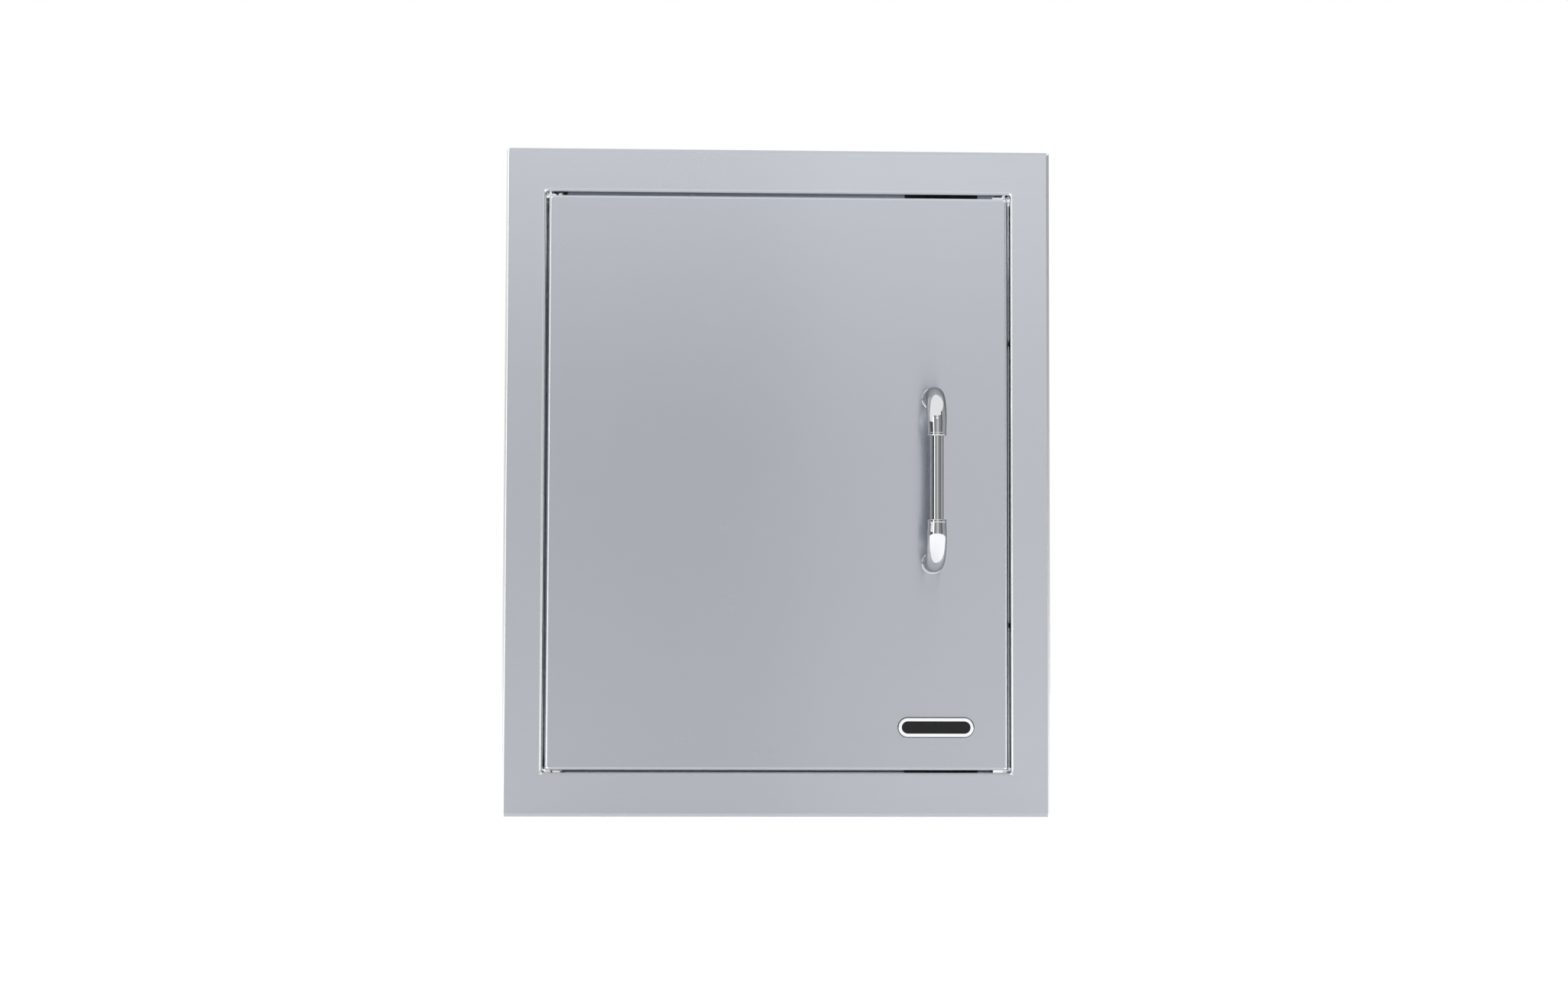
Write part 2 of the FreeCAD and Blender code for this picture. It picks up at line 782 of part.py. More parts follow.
def make_finger_knob():
    """Knob through the stop ring into the pin, reaching out of the liner's slot."""
    start = V(pivot_x, pivot_y + pin_radius - knob_depth_in_pin, knob_z)
    reach = door_back + knob_reach - start.y
    stem = rod(knob_radius, start, V(0, 1, 0), reach)
    head_start = V(pivot_x, door_back + knob_reach - knob_head_length, knob_z)
    head = rod(knob_head_radius, head_start, V(0, 1, 0), knob_head_length)
    end = door_back + knob_reach
    head = head.makeFillet(knob_edge, edges_at(head, end))
    return stem.fuse(head).removeSplitter()


def make_spring():
    """Compression spring between the bracket's lower lug and the stop ring."""
    low = spring_seat + spring_wire_radius + seat_clearance
    high = ring_bottom - spring_wire_radius - seat_clearance
    pitch = (high - low) / spring_turns
    path = Part.makeHelix(pitch, high - low, spring_mean_radius)
    slope = math.atan2(pitch, 2 * math.pi * spring_mean_radius)
    facing = V(0, math.cos(slope), math.sin(slope))
    section = Part.Wire(Part.makeCircle(spring_wire_radius, V(spring_mean_radius, 0, 0), facing))
    coil = Part.Wire(path).makePipeShell([section], True, True)
    coil.translate(V(pivot_x, pivot_y, low))
    return coil


def make_elbow():
    """The upper elbow: a round foot on the door, a bend, and a collar with a lip."""
    turn_y = bar_y + elbow_bend
    turn_z = foot_z - elbow_bend
    foot = rod(elbow_radius, V(handle_x, face_y, foot_z), V(0, -1, 0), face_y - turn_y)
    section = Part.Face(Part.Wire(Part.makeCircle(elbow_radius, V(handle_x, turn_y, foot_z),
                                                  V(0, 1, 0))))
    bend = section.revolve(V(handle_x, turn_y, turn_z), V(1, 0, 0), 90)
    arm = Part.makeCone(elbow_radius, collar_radius, turn_z - lip_ring_z,
                        V(handle_x, bar_y, turn_z), V(0, 0, -1))
    ring = rod(lip_ring_radius, V(handle_x, bar_y, lip_ring_z), V(0, 0, 1), lip_ring_height)
    ring = ring.makeFillet(lip_ring_edge, [e for e in ring.Edges if e.BoundBox.ZLength < EDGE_TOLERANCE])
    elbow = foot.fuse([bend, arm, ring]).removeSplitter()
    socket = rod(grip_radius + running_clearance, V(handle_x, bar_y, lip_ring_z - 1),
                 V(0, 0, 1), grip_socket_depth + 1 + seat_clearance)
    depth = handle_screw_length - skin_sheet - backing_sheet - handle_washer_sheet + 1
    hole = rod(handle_screw_radius + seat_clearance, V(handle_x, face_y + 1, foot_z),
               V(0, -1, 0), depth + 1)
    return elbow.cut(socket).cut(hole)


def make_grip():
    """The grip tube, seated in both elbows' sockets."""
    length = grip_length + 2 * grip_socket_depth
    base = V(handle_x, bar_y, handle_height - length / 2)
    tube = rod(grip_radius, base, V(0, 0, 1), length)
    return tube.cut(rod(grip_radius - grip_wall, base - V(0, 0, 1), V(0, 0, 1), length + 2))


def make_backing():
    """Backing plate inside the skin, behind the handle."""
    half = backing_width / 2
    low, high = handle_screw_places()
    plate = slab(handle_x - half, handle_x + half, skin_inner, skin_inner + backing_sheet,
                 low - backing_overhang, high + backing_overhang, liner_corner)
    for z in (low, high):
        start = V(handle_x, skin_inner - 1, z)
        plate = plate.cut(rod(handle_screw_radius + hole_clearance, start, V(0, 1, 0),
                              backing_sheet + 2))
    return plate


def make_handle_washers():
    """Washers between the handle screws' heads and the backing plate."""
    y = skin_inner + backing_sheet
    pieces = []
    for z in handle_screw_places():
        ring = rod(handle_washer_radius, V(handle_x, y, z), V(0, 1, 0), handle_washer_sheet)
        bore = rod(handle_screw_radius + hole_clearance, V(handle_x, y - 1, z), V(0, 1, 0),
                   handle_washer_sheet + 2)
        pieces.append(ring.cut(bore))
    return group(pieces)


def make_handle_screws():
    """Pan-head screws from inside the door into the elbows' feet."""
    y = skin_inner + backing_sheet + handle_washer_sheet
    pieces = []
    for z in handle_screw_places():
        shank = rod(handle_screw_radius, V(handle_x, y, z), V(0, -1, 0), handle_screw_length)
        head = rod(handle_screw_head_radius, V(handle_x, y, z), V(0, 1, 0),
                   handle_screw_head_height)
        head = head.makeFillet(handle_screw_crown,
                               edges_at(head, y + handle_screw_head_height))
        pieces.append(shank.fuse(head).removeSplitter())
    return group(pieces)


def stadium(width, height, y0, y1):
    """A block with half-round ends, at the badge's place."""
    return slab(badge_x - width / 2, badge_x + width / 2, y0, y1,
                badge_z - height / 2, badge_z + height / 2, height / 2 * round_end)


def make_badge_rim():
    """Badge body: a rim round a shallow recess, with two studs behind."""
    front = face_y - badge_sheet
    body = stadium(badge_width, badge_height, front, face_y)
    body = body.makeFillet(badge_edge, edges_at(body, front))
    inner = 2 * badge_rim
    body = body.cut(stadium(badge_width - inner, badge_height - inner, front - 1,
                            front + badge_recess))
    for x in badge_stud_places():
        body = body.fuse(rod(badge_stud_radius, V(x, face_y - badge_recess / 2, badge_z),
                             V(0, 1, 0), badge_stud_length + badge_recess / 2))
    return body.removeSplitter()


def make_badge_inlay():
    """Dark inlay, seated in the badge's recess."""
    floor = face_y - badge_sheet + badge_recess
    inner = 2 * (badge_rim + running_clearance)
    return stadium(badge_width - inner, badge_height - inner, floor - inlay_sheet, floor)


upper_stop = make_end_stop()
upper_case = make_catch_case()
upper_magnet = make_magnet()
upper_strike = make_strike()
upper_elbow = make_elbow()

nodes = {
    "face_frame": make_face_frame(),
    "hinge_side_stop": make_side_stop(hinge_stop_leg, False),
    "latch_side_stop": make_side_stop(stop_leg, True),
    "upper_stop": upper_stop,
    "lower_stop": mirrored(upper_stop),
    "stop_bumpers": make_bumpers(),
    "upper_pivot_plate": make_upper_plate(),
    "upper_bush": make_upper_bush(),
    "lower_pivot_plate": make_lower_plate(),
    "lower_pin": make_lower_pin(),
    "thrust_washer": make_thrust_washer(),
    "upper_catch_case": upper_case,
    "lower_catch_case": mirrored(upper_case),
    "upper_magnet": upper_magnet,
    "lower_magnet": mirrored(upper_magnet),
    "pole_plates": make_pole_plates(),
    "catch_screws": make_catch_screws(),
    "door_skin": make_door_skin(),
    "door_liner": make_liner(),
    "liner_rivets": make_rivets(),
    "hinge_side_channel": make_channel(door_left + channel_from_hinge_edge),
    "latch_side_channel": make_channel(door_right - channel_from_latch_edge),
    "upper_guide": make_upper_guide(),
    "spring_bracket": make_spring_bracket(),
    "lower_pivot_block": make_lower_block(),
    "lower_bush": make_lower_bush(),
    "upper_strike": upper_strike,
    "lower_strike": mirrored(upper_strike),
    "strike_screws": make_strike_screws(),
    "upper_elbow": upper_elbow,
    "lower_elbow": mirrored(upper_elbow, handle_height),
    "grip_tube": make_grip(),
    "handle_backing": make_backing(),
    "handle_washers": make_handle_washers(),
    "handle_screws": make_handle_screws(),
    "badge_rim": make_badge_rim(),
    "badge_inlay": make_badge_inlay(),
    "upper_pin": make_upper_pin(),
    "stop_ring": make_stop_ring(),
    "finger_knob": make_finger_knob(),
    "pin_spring": make_spring(),
}

os.makedirs("parts", exist_ok=True)
for name, shape in nodes.items():
    shape.exportStep("parts/" + name + ".step")
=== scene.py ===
"""A barbecue island access door: finishes, fine pieces and studio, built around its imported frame."""

import json
import logging
import math
from dataclasses import dataclass, field
from enum import IntEnum

import bmesh
import bpy
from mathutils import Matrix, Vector


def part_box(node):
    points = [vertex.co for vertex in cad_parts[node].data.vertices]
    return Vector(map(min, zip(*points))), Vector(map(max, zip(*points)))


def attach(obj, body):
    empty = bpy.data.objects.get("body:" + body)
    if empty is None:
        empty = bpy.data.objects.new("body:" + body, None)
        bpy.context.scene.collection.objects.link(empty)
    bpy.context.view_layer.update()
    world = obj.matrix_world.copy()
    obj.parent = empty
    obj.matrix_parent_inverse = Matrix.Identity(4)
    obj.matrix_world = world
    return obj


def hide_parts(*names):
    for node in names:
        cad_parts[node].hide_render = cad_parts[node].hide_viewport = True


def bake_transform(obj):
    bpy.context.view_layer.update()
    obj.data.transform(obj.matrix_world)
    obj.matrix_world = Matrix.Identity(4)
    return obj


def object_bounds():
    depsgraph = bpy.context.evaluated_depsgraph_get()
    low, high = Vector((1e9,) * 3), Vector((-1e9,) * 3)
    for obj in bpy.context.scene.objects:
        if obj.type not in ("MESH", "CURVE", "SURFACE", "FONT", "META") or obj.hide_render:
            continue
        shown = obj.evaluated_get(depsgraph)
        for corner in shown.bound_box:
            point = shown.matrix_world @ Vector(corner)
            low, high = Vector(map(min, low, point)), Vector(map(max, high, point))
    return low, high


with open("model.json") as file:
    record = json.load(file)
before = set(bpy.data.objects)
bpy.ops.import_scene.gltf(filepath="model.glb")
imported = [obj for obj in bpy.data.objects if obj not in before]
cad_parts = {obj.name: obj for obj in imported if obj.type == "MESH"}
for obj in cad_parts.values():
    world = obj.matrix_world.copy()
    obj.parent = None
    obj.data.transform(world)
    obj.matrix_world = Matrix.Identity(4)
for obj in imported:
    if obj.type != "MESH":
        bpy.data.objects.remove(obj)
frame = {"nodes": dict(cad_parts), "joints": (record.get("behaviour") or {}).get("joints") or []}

LOG = logging.getLogger("access_door")
CAD_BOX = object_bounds()

Object = bpy.types.Object
Tree = bpy.types.NodeTree
Socket = bpy.types.NodeSocket
Sockets = bpy.types.bpy_prop_collection
Colour = tuple[float, float, float]
Shade = tuple[float, float, float, float]
Pair = tuple[float, float]
Point = tuple[float, float, float]
Outline = tuple[Pair, ...]
Place = tuple[Point, Point]
Dressing = dict[str, tuple[str, ...]]

WHITE: Shade = (1.0, 1.0, 1.0, 1.0)
WHOLE = (0.0, 1.0)
FORWARDS: Point = (0.0, -1.0, 0.0)
BACKWARDS: Point = (0.0, 1.0, 0.0)
UPWARDS: Point = (0.0, 0.0, 1.0)


class Seed(IntEnum):
    """Seeds of the random turns, one for each kind of piece."""

    FOOT_RING = 2
    OPENING_WELD = 3
    DOOR_WELD = 4
    SPOT_WELD = 5
    SPRING = 6
    RIVET = 7
    SCREW = 11


def toned(colour: Colour, gain: float, lift: float = 0.0) -> Shade:
    """Returns a colour made lighter or darker, held at white."""
    return tuple(min(1.0, part * gain + lift) for part in colour) + (1.0,)


def spread(count: int, pitch: float, middle: float = 0.0) -> list[float]:
    """Returns evenly spaced places round a middle."""
    return [middle + (index - (count - 1) / 2) * pitch for index in range(count)]


def add_object(name: str, data: bpy.types.ID) -> Object:
    """Puts new data into the scene as an object.

    Args:
        name: the object's name.
        data: its mesh, camera or light.

    Returns:
        The object, at the origin.
    """
    made = bpy.data.objects.new(name, data)
    bpy.context.scene.collection.objects.link(made)
    return made


class Span:
    """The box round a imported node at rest."""

    def __init__(self, node: str) -> None:
        """Measures a node.

        Args:
            node: its name.
        """
        self.low, self.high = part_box(node)
        self.middle = (self.low + self.high) / 2
        self.size = self.high - self.low


class Wiring:
    """Adds and links nodes in one node tree."""

    def __init__(self, tree: Tree) -> None:
        """Keeps the tree to fill."""
        self.tree = tree

    @classmethod
    def blank(cls, owner: bpy.types.Material | bpy.types.World) -> "Wiring":
        """Empties a node tree.

        Args:
            owner: the tree's material or world.

        Returns:
            The tree's wiring.
        """
        owner.use_nodes = True
        owner.node_tree.nodes.clear()
        return cls(owner.node_tree)

    def feed(self, sockets: Sockets, values: dict) -> None:
        """Links sockets, or sets plain values, into inputs.

        Args:
            sockets: a node's inputs.
            values: sockets or plain values by input name or number.
        """
        for key, value in values.items():
            if isinstance(value, Socket):
                self.tree.links.new(value, sockets[key])
            else:
                sockets[key].default_value = value

    def add(self, kind: str, inputs: dict | None = None, **settings: object) -> bpy.types.Node:
        """Adds a node.

        Args:
            kind: Blender's node type.
            inputs: values or sockets by input name or number.
            settings: properties of the node.

        Returns:
            The new node.
        """
        node = self.tree.nodes.new(kind)
        for name, value in settings.items():
            setattr(node, name, value)
        self.feed(node.inputs, inputs or {})
        return node

    def get(self, kind: str, inputs: dict | None = None, **settings: object) -> Socket:
        """Adds a node, as add does, and returns its first output."""
        return self.add(kind, inputs, **settings).outputs[0]

    def use(self, group: Tree, **inputs: float) -> Sockets:
        """Puts a node group in the tree and returns its outputs."""
        return self.add("ShaderNodeGroup", inputs, node_tree=group).outputs

    def port(self, name: str, way: str, kind: str, value: float | None = None) -> None:
        """Adds a socket to the tree's own interface.

        Args:
            name: the socket's name.
            way: INPUT or OUTPUT.
            kind: its type.
            value: its default value, if it has one.
        """
        socket = self.tree.interface.new_socket(name=name, in_out=way, socket_type="NodeSocket" + kind)
        if value is not None:
            socket.default_value = value

    def maths(self, operation: str, a: object, b: object = 0.0, c: object = 0.0) -> Socket:
        """Adds a Math node on up to three values or sockets and returns its result."""
        return self.get("ShaderNodeMath", {0: a, 1: b, 2: c}, operation=operation)

    def vector(self, operation: str, inputs: dict) -> Socket:
        """Adds a Vector Math node.

        Args:
            operation: the node's operation.
            inputs: values or sockets by input name or number.

        Returns:
            The vector or number that the operation gives.
        """
        node = self.add("ShaderNodeVectorMath", inputs, operation=operation)
        return node.outputs["Value" if operation in ("DOT_PRODUCT", "LENGTH") else "Vector"]

    def join(self, **parts: object) -> Socket:
        """Joins X, Y and Z into a vector and returns it."""
        return self.get("ShaderNodeCombineXYZ", parts)

    def split(self, vector: Socket) -> Sockets:
        """Splits a vector and returns its X, Y and Z."""
        return self.add("ShaderNodeSeparateXYZ", {0: vector}).outputs

    def ramp(self, value: object, span: Pair, result: Pair = WHOLE) -> Socket:
        """Maps a range of a value smoothly to another, and holds it at its ends.

        Args:
            value: the value or socket to map.
            span: where the map starts and ends.
            result: what it gives at these two.

        Returns:
            The mapped value.
        """
        labels = ("Value", "From Min", "From Max", "To Min", "To Max")
        inputs = dict(zip(labels, (value, *span, *result)))
        return self.get("ShaderNodeMapRange", inputs, interpolation_type="SMOOTHSTEP", clamp=True)

    def noise(self, vector: Socket, detail: float, roughness: float, scale: float = 1.0) -> Socket:
        """Adds a noise texture.

        Args:
            vector: where it is read.
            detail: octaves.
            roughness: share of the finer octaves.
            scale: cells in a unit of the vector.

        Returns:
            Its value from 0 to 1.
        """
        inputs = {"Vector": vector, "Scale": scale, "Detail": detail, "Roughness": roughness}
        return self.get("ShaderNodeTexNoise", inputs)

    def blend(self, share: Socket, a: object, b: object) -> Socket:
        """Mixes two colours by the second one's share and returns the result."""
        return self.add("ShaderNodeMix", {0: share, 6: a, 7: b}, data_type="RGBA").outputs[2]

    def relief(self, strength: float, depth: float, height: Socket) -> Socket:
        """Adds a bump of a depth in metres and returns its normal."""
        return self.get("ShaderNodeBump", {"Strength": strength, "Distance": depth, "Height": height})

    def end(self, surface: Socket, kind: str = "ShaderNodeOutputMaterial") -> None:
        """Ends the tree with its surface."""
        self.add(kind, {"Surface": surface})


def new_group(
    kind: str, name: str, inputs: dict[str, float | None], outputs: dict[str, str]
) -> tuple[Wiring, Sockets, Sockets]:
    """Starts a node group.

    Args:
        kind: Shader or Geometry.
        name: the group's name.
        inputs: default value of each number by name, and None for a geometry.
        outputs: type of each output by name.

    Returns:
        Its wiring, the sockets that bring its inputs and those that take its outputs.
    """
    w = Wiring(bpy.data.node_groups.new(name, kind + "NodeTree"))
    for label, value in inputs.items():
        w.port(label, "INPUT", "Geometry" if value is None else "Float", value)
    for label, data in outputs.items():
        w.port(label, "OUTPUT", data)
    return w, w.add("NodeGroupInput").outputs, w.add("NodeGroupOutput").inputs


class Effects:
    """Node groups that several finishes share."""

    BRUSH_PITCH = 0.0007
    BRUSH_LENGTH = 0.09
    END_FACING = 0.75
    BROAD_SCALE = 0.17
    BROAD_SHARE = 0.4
    GROOVE_SCALE = 3.1
    GROOVE_TILT = 0.028
    CLOUD_SPAN = (0.3, 0.7)
    MARK_SCALE = 6.0
    MARK_SPAN = (0.55, 0.75)
    FLAT_SPAN = (0.985, 0.999)
    BEND_SPAN = (0.04, 0.25)

    def __init__(self) -> None:
        """Builds each group once."""
        self.grain = self.make_grain()
        self.handling = self.make_handling()
        self.fold = self.make_fold()

    def make_grain(self) -> Tree:
        """Brushing streaks along X that follow a folded sheet round its bends.

        Returns:
            A group that gives a streak mask and the normal of the fine grooves.
        """
        w, _, out = new_group("Shader", "brushed_grain", {}, {"Streak": "Float", "Normal": "Vector"})
        place = w.add("ShaderNodeTexCoord").outputs
        at, normal = w.split(place["Object"]), place["Normal"]
        ends = w.maths("GREATER_THAN", w.maths("ABSOLUTE", w.split(normal)["Z"]), self.END_FACING)
        fine, coarse = 1 / self.BRUSH_PITCH, 1 / self.BRUSH_LENGTH
        scales = {"X": coarse, "Y": w.maths("MULTIPLY_ADD", ends, fine - coarse, coarse), "Z": fine}
        vector = w.join(**{axis: w.maths("MULTIPLY", at[axis], scale) for axis, scale in scales.items()})
        streaks = w.maths("MULTIPLY", w.noise(vector, detail=3.0, roughness=0.6), 1 - self.BROAD_SHARE)
        broad = w.noise(vector, detail=2.0, roughness=0.5, scale=self.BROAD_SCALE)
        both = w.maths("MULTIPLY_ADD", broad, self.BROAD_SHARE, streaks)
        groove = w.noise(vector, detail=2.0, roughness=0.7, scale=self.GROOVE_SCALE)
        lean = w.maths("MULTIPLY", w.maths("SUBTRACT", groove, 0.5), self.GROOVE_TILT)
        side = w.vector("CROSS_PRODUCT", {0: (1.0, 0.0, 0.0), 1: normal})
        tilted = w.vector("ADD", {0: normal, 1: w.vector("SCALE", {0: side, "Scale": lean})})
        spaces = {"vector_type": "NORMAL", "convert_from": "OBJECT", "convert_to": "WORLD"}
        grooved = w.get("ShaderNodeVectorTransform", {0: tilted}, **spaces)
        w.feed(out, {"Streak": w.ramp(both, self.CLOUD_SPAN), "Normal": grooved})
        return w.tree

    def make_handling(self) -> Tree:
        """Faint cloudiness and wipe marks of a handled surface.

        Returns:
            A group that gives a cloud mask and a mark mask.
        """
        masks = {"Cloud": "Float", "Mark": "Float"}
        w, given, out = new_group("Shader", "handling_marks", {"Size": 0.12}, masks)
        at = w.add("ShaderNodeTexCoord").outputs["Object"]
        vector = w.vector("SCALE", {0: at, "Scale": w.maths("DIVIDE", 1.0, given["Size"])})
        cloud = w.noise(vector, detail=3.0, roughness=0.55)
        mark = w.noise(vector, detail=5.0, roughness=0.7, scale=self.MARK_SCALE)
        w.feed(out, {"Cloud": w.ramp(cloud, self.CLOUD_SPAN), "Mark": w.ramp(mark, self.MARK_SPAN)})
        return w.tree

    def make_fold(self) -> Tree:
        """Masks of the sheet's folds, from where the surface faces, by which the brushed finish sets its
        roughness and paints its highlights.

        Returns:
            A group that gives 1 on a fold to the side, on one up or down, on one down, on a flat
            wall and on a wall that looks inwards.
        """
        labels = ("Side", "End", "Down", "Wall", "Inner")
        w, _, out = new_group("Shader", "fold_mask", {}, dict.fromkeys(labels, "Float"))
        place = w.add("ShaderNodeTexCoord").outputs
        facing = w.split(place["Normal"])
        walls, bends = [], []
        for axis in ("X", "Z"):
            turn = w.maths("ABSOLUTE", facing[axis])
            walls.append(w.ramp(turn, self.FLAT_SPAN))
            not_flat = w.maths("SUBTRACT", 1.0, walls[-1])
            bends.append(w.maths("MULTIPLY", w.ramp(turn, self.BEND_SPAN), not_flat))
        side, end = bends
        down = w.maths("MULTIPLY", end, w.maths("LESS_THAN", facing["Z"], 0.0))
        wall = w.maths("MAXIMUM", *walls)
        at = w.vector("MULTIPLY", {0: place["Object"], 1: (1.0, 0.0, 1.0)})
        outwards = w.vector("DOT_PRODUCT", {0: at, 1: place["Normal"]})
        inner = w.maths("MULTIPLY", wall, w.maths("LESS_THAN", outwards, 0.0))
        w.feed(out, dict(zip(labels, (side, end, down, wall, inner))))
        return w.tree


EFFECTS = Effects()


@dataclass(frozen=True)
class Finish:
    """A surface finish. Kinds of it wire their own nodes."""

    METALLIC = 1.0

    name: str
    colour: Colour
    roughness: float

    def build(self) -> bpy.types.Material:
        """Makes the material and returns it."""
        material = bpy.data.materials.new(self.name)
        w = Wiring.blank(material)
        surface = w.add("ShaderNodeBsdfPrincipled", {"Metallic": self.METALLIC})
        self.wire(w, surface.inputs)
        w.end(surface.outputs[0])
        material.diffuse_color = toned(self.colour, 1.0)
        return material

    def wire(self, w: Wiring, surface: Sockets) -> None:
        """Adds the finish's own nodes.

        Args:
            w: the material's wiring.
            surface: its main shader's inputs.
        """
        raise NotImplementedError


@dataclass(frozen=True)
class BrushedSheet(Finish):
    """Stainless sheet with a brushed grain and its own roughness on walls and bends; its colour carries
    painted highlights that make the walls and bends lighter.
    """

    CLOUD_SIZE = 0.16
    CLOUD_SHARE = 0.06
    MARK_SHARE = 0.05
    STREAK_SHARE = 0.035
    STREAK_DEPTH = 0.005
    WALL_ROUGHNESS = 0.05
    END_ROUGHNESS = 0.45
    SIDE_ROUGHNESS = 0.18

    # Painted highlight: how much lighter the colour is painted on the walls (all of them, or only those that
    # look into the opening) and on the bends that face up, down and to the side.
    highlight_walls: str = "Wall"
    wall_highlight_gain: float = 1.35
    end_highlight_gain: float = 1.3
    down_highlight_gain: float = 1.3
    side_highlight_gain: float = 1.9

    def wire(self, w: Wiring, surface: Sockets) -> None:
        """Wires grain, handling marks, the roughness of the bends, and the painted highlights on walls and
        bends.

        Args:
            w: the material's wiring.
            surface: its main shader's inputs.
        """
        grain, fold = w.use(EFFECTS.grain), w.use(EFFECTS.fold)
        hands = w.use(EFFECTS.handling, Size=self.CLOUD_SIZE)
        dark, pale = (toned(self.colour, 1 + way * self.STREAK_DEPTH) for way in (-1, 1))
        colour = w.blend(grain["Streak"], dark, pale)
        # Painted highlight: the colour is lightened on walls and bends by where they face, standing for the
        # light that they catch.
        painted_highlights = {self.highlight_walls: self.wall_highlight_gain, "End": self.end_highlight_gain}
        painted_highlights |= {"Down": self.down_highlight_gain, "Side": self.side_highlight_gain}
        for label, gain in painted_highlights.items():
            colour = w.blend(fold[label], colour, toned(self.colour, gain))
        across = tuple(self.roughness * (1 + way * self.STREAK_SHARE) for way in (1, -1))
        rough = w.ramp(grain["Streak"], WHOLE, across)
        for label, share in (("Cloud", self.CLOUD_SHARE), ("Mark", self.MARK_SHARE)):
            rough = w.maths("MULTIPLY_ADD", hands[label], self.roughness * share, rough)
        bent = {"Wall": self.WALL_ROUGHNESS, "End": self.END_ROUGHNESS, "Side": self.SIDE_ROUGHNESS}
        for label, value in bent.items():
            rough = w.maths("MULTIPLY_ADD", fold[label], w.maths("SUBTRACT", value, rough), rough)
        w.feed(surface, {
            "Base Color": colour,
            "Roughness": rough,
            "Anisotropic": 1.0,
            "Tangent": w.get("ShaderNodeTangent", direction_type="RADIAL", axis="X"),
            "Normal": grain["Normal"],
        })


@dataclass(frozen=True)
class BrightPlate(Finish):
    """Polished plate, with the faintest waviness and wipe marks."""

    WAVE_SIZE = 0.03
    WAVE_DEPTH = 0.00003
    WAVE_STRENGTH = 0.2
    WIPE_SHARE = 0.8
    EDGE_TINT: Shade = (0.5, 0.5, 0.51, 1.0)

    def wire(self, w: Wiring, surface: Sockets) -> None:
        """Wires the plate's waviness.

        Args:
            w: the material's wiring.
            surface: its main shader's inputs.
        """
        hands = w.use(EFFECTS.handling, Size=self.WAVE_SIZE)
        wiped = self.roughness * self.WIPE_SHARE
        w.feed(surface, {
            "Base Color": toned(self.colour, 1.0),
            "Specular Tint": self.EDGE_TINT,
            "Roughness": w.maths("MULTIPLY_ADD", hands["Mark"], wiped, self.roughness),
            "Normal": w.relief(self.WAVE_STRENGTH, self.WAVE_DEPTH, hands["Cloud"]),
        })


@dataclass(frozen=True)
class PlatedSteel(Finish):
    """Zinc plate or plain bright metal: fine mottling and a soft sheen."""

    SPOT_SIZE = 0.006
    SPOT_DEPTH = 0.00003
    SPOT_STRENGTH = 0.15
    SPOT_SHARE = 0.35

    mottle: float = 0.08

    def wire(self, w: Wiring, surface: Sockets) -> None:
        """Wires the mottling.

        Args:
            w: the material's wiring.
            surface: its main shader's inputs.
        """
        spots = w.use(EFFECTS.handling, Size=self.SPOT_SIZE)
        plain, dark = toned(self.colour, 1.0), toned(self.colour, 1 - self.mottle)
        spotted = self.roughness * self.SPOT_SHARE
        w.feed(surface, {
            "Base Color": w.blend(spots["Cloud"], plain, dark),
            "Roughness": w.maths("MULTIPLY_ADD", spots["Mark"], spotted, self.roughness),
            "Normal": w.relief(self.SPOT_STRENGTH, self.SPOT_DEPTH, spots["Mark"]),
        })


@dataclass(frozen=True)
class Moulded(Finish):
    """Moulded plastic, rubber or ferrite with a fine texture."""

    METALLIC = 0.0
    GRAIN_SIZE = 0.0036
    GRAIN_STRENGTH = 0.4
    PALE_GAIN = 1.25
    PALE_LIFT = 0.004
    CLOUD_ROUGHNESS = 0.08

    texture: float = 0.00005
    shine: float = 0.5

    def wire(self, w: Wiring, surface: Sockets) -> None:
        """Wires the moulded texture.

        Args:
            w: the material's wiring.
            surface: its main shader's inputs.
        """
        spots = w.use(EFFECTS.handling, Size=self.GRAIN_SIZE)
        plain, pale = toned(self.colour, 1.0), toned(self.colour, self.PALE_GAIN, self.PALE_LIFT)
        w.feed(surface, {
            "Base Color": w.blend(spots["Mark"], plain, pale),
            "Roughness": w.maths("MULTIPLY_ADD", spots["Cloud"], self.CLOUD_ROUGHNESS, self.roughness),
            "Specular IOR Level": self.shine,
            "Normal": w.relief(self.GRAIN_STRENGTH, self.texture, spots["Mark"]),
        })


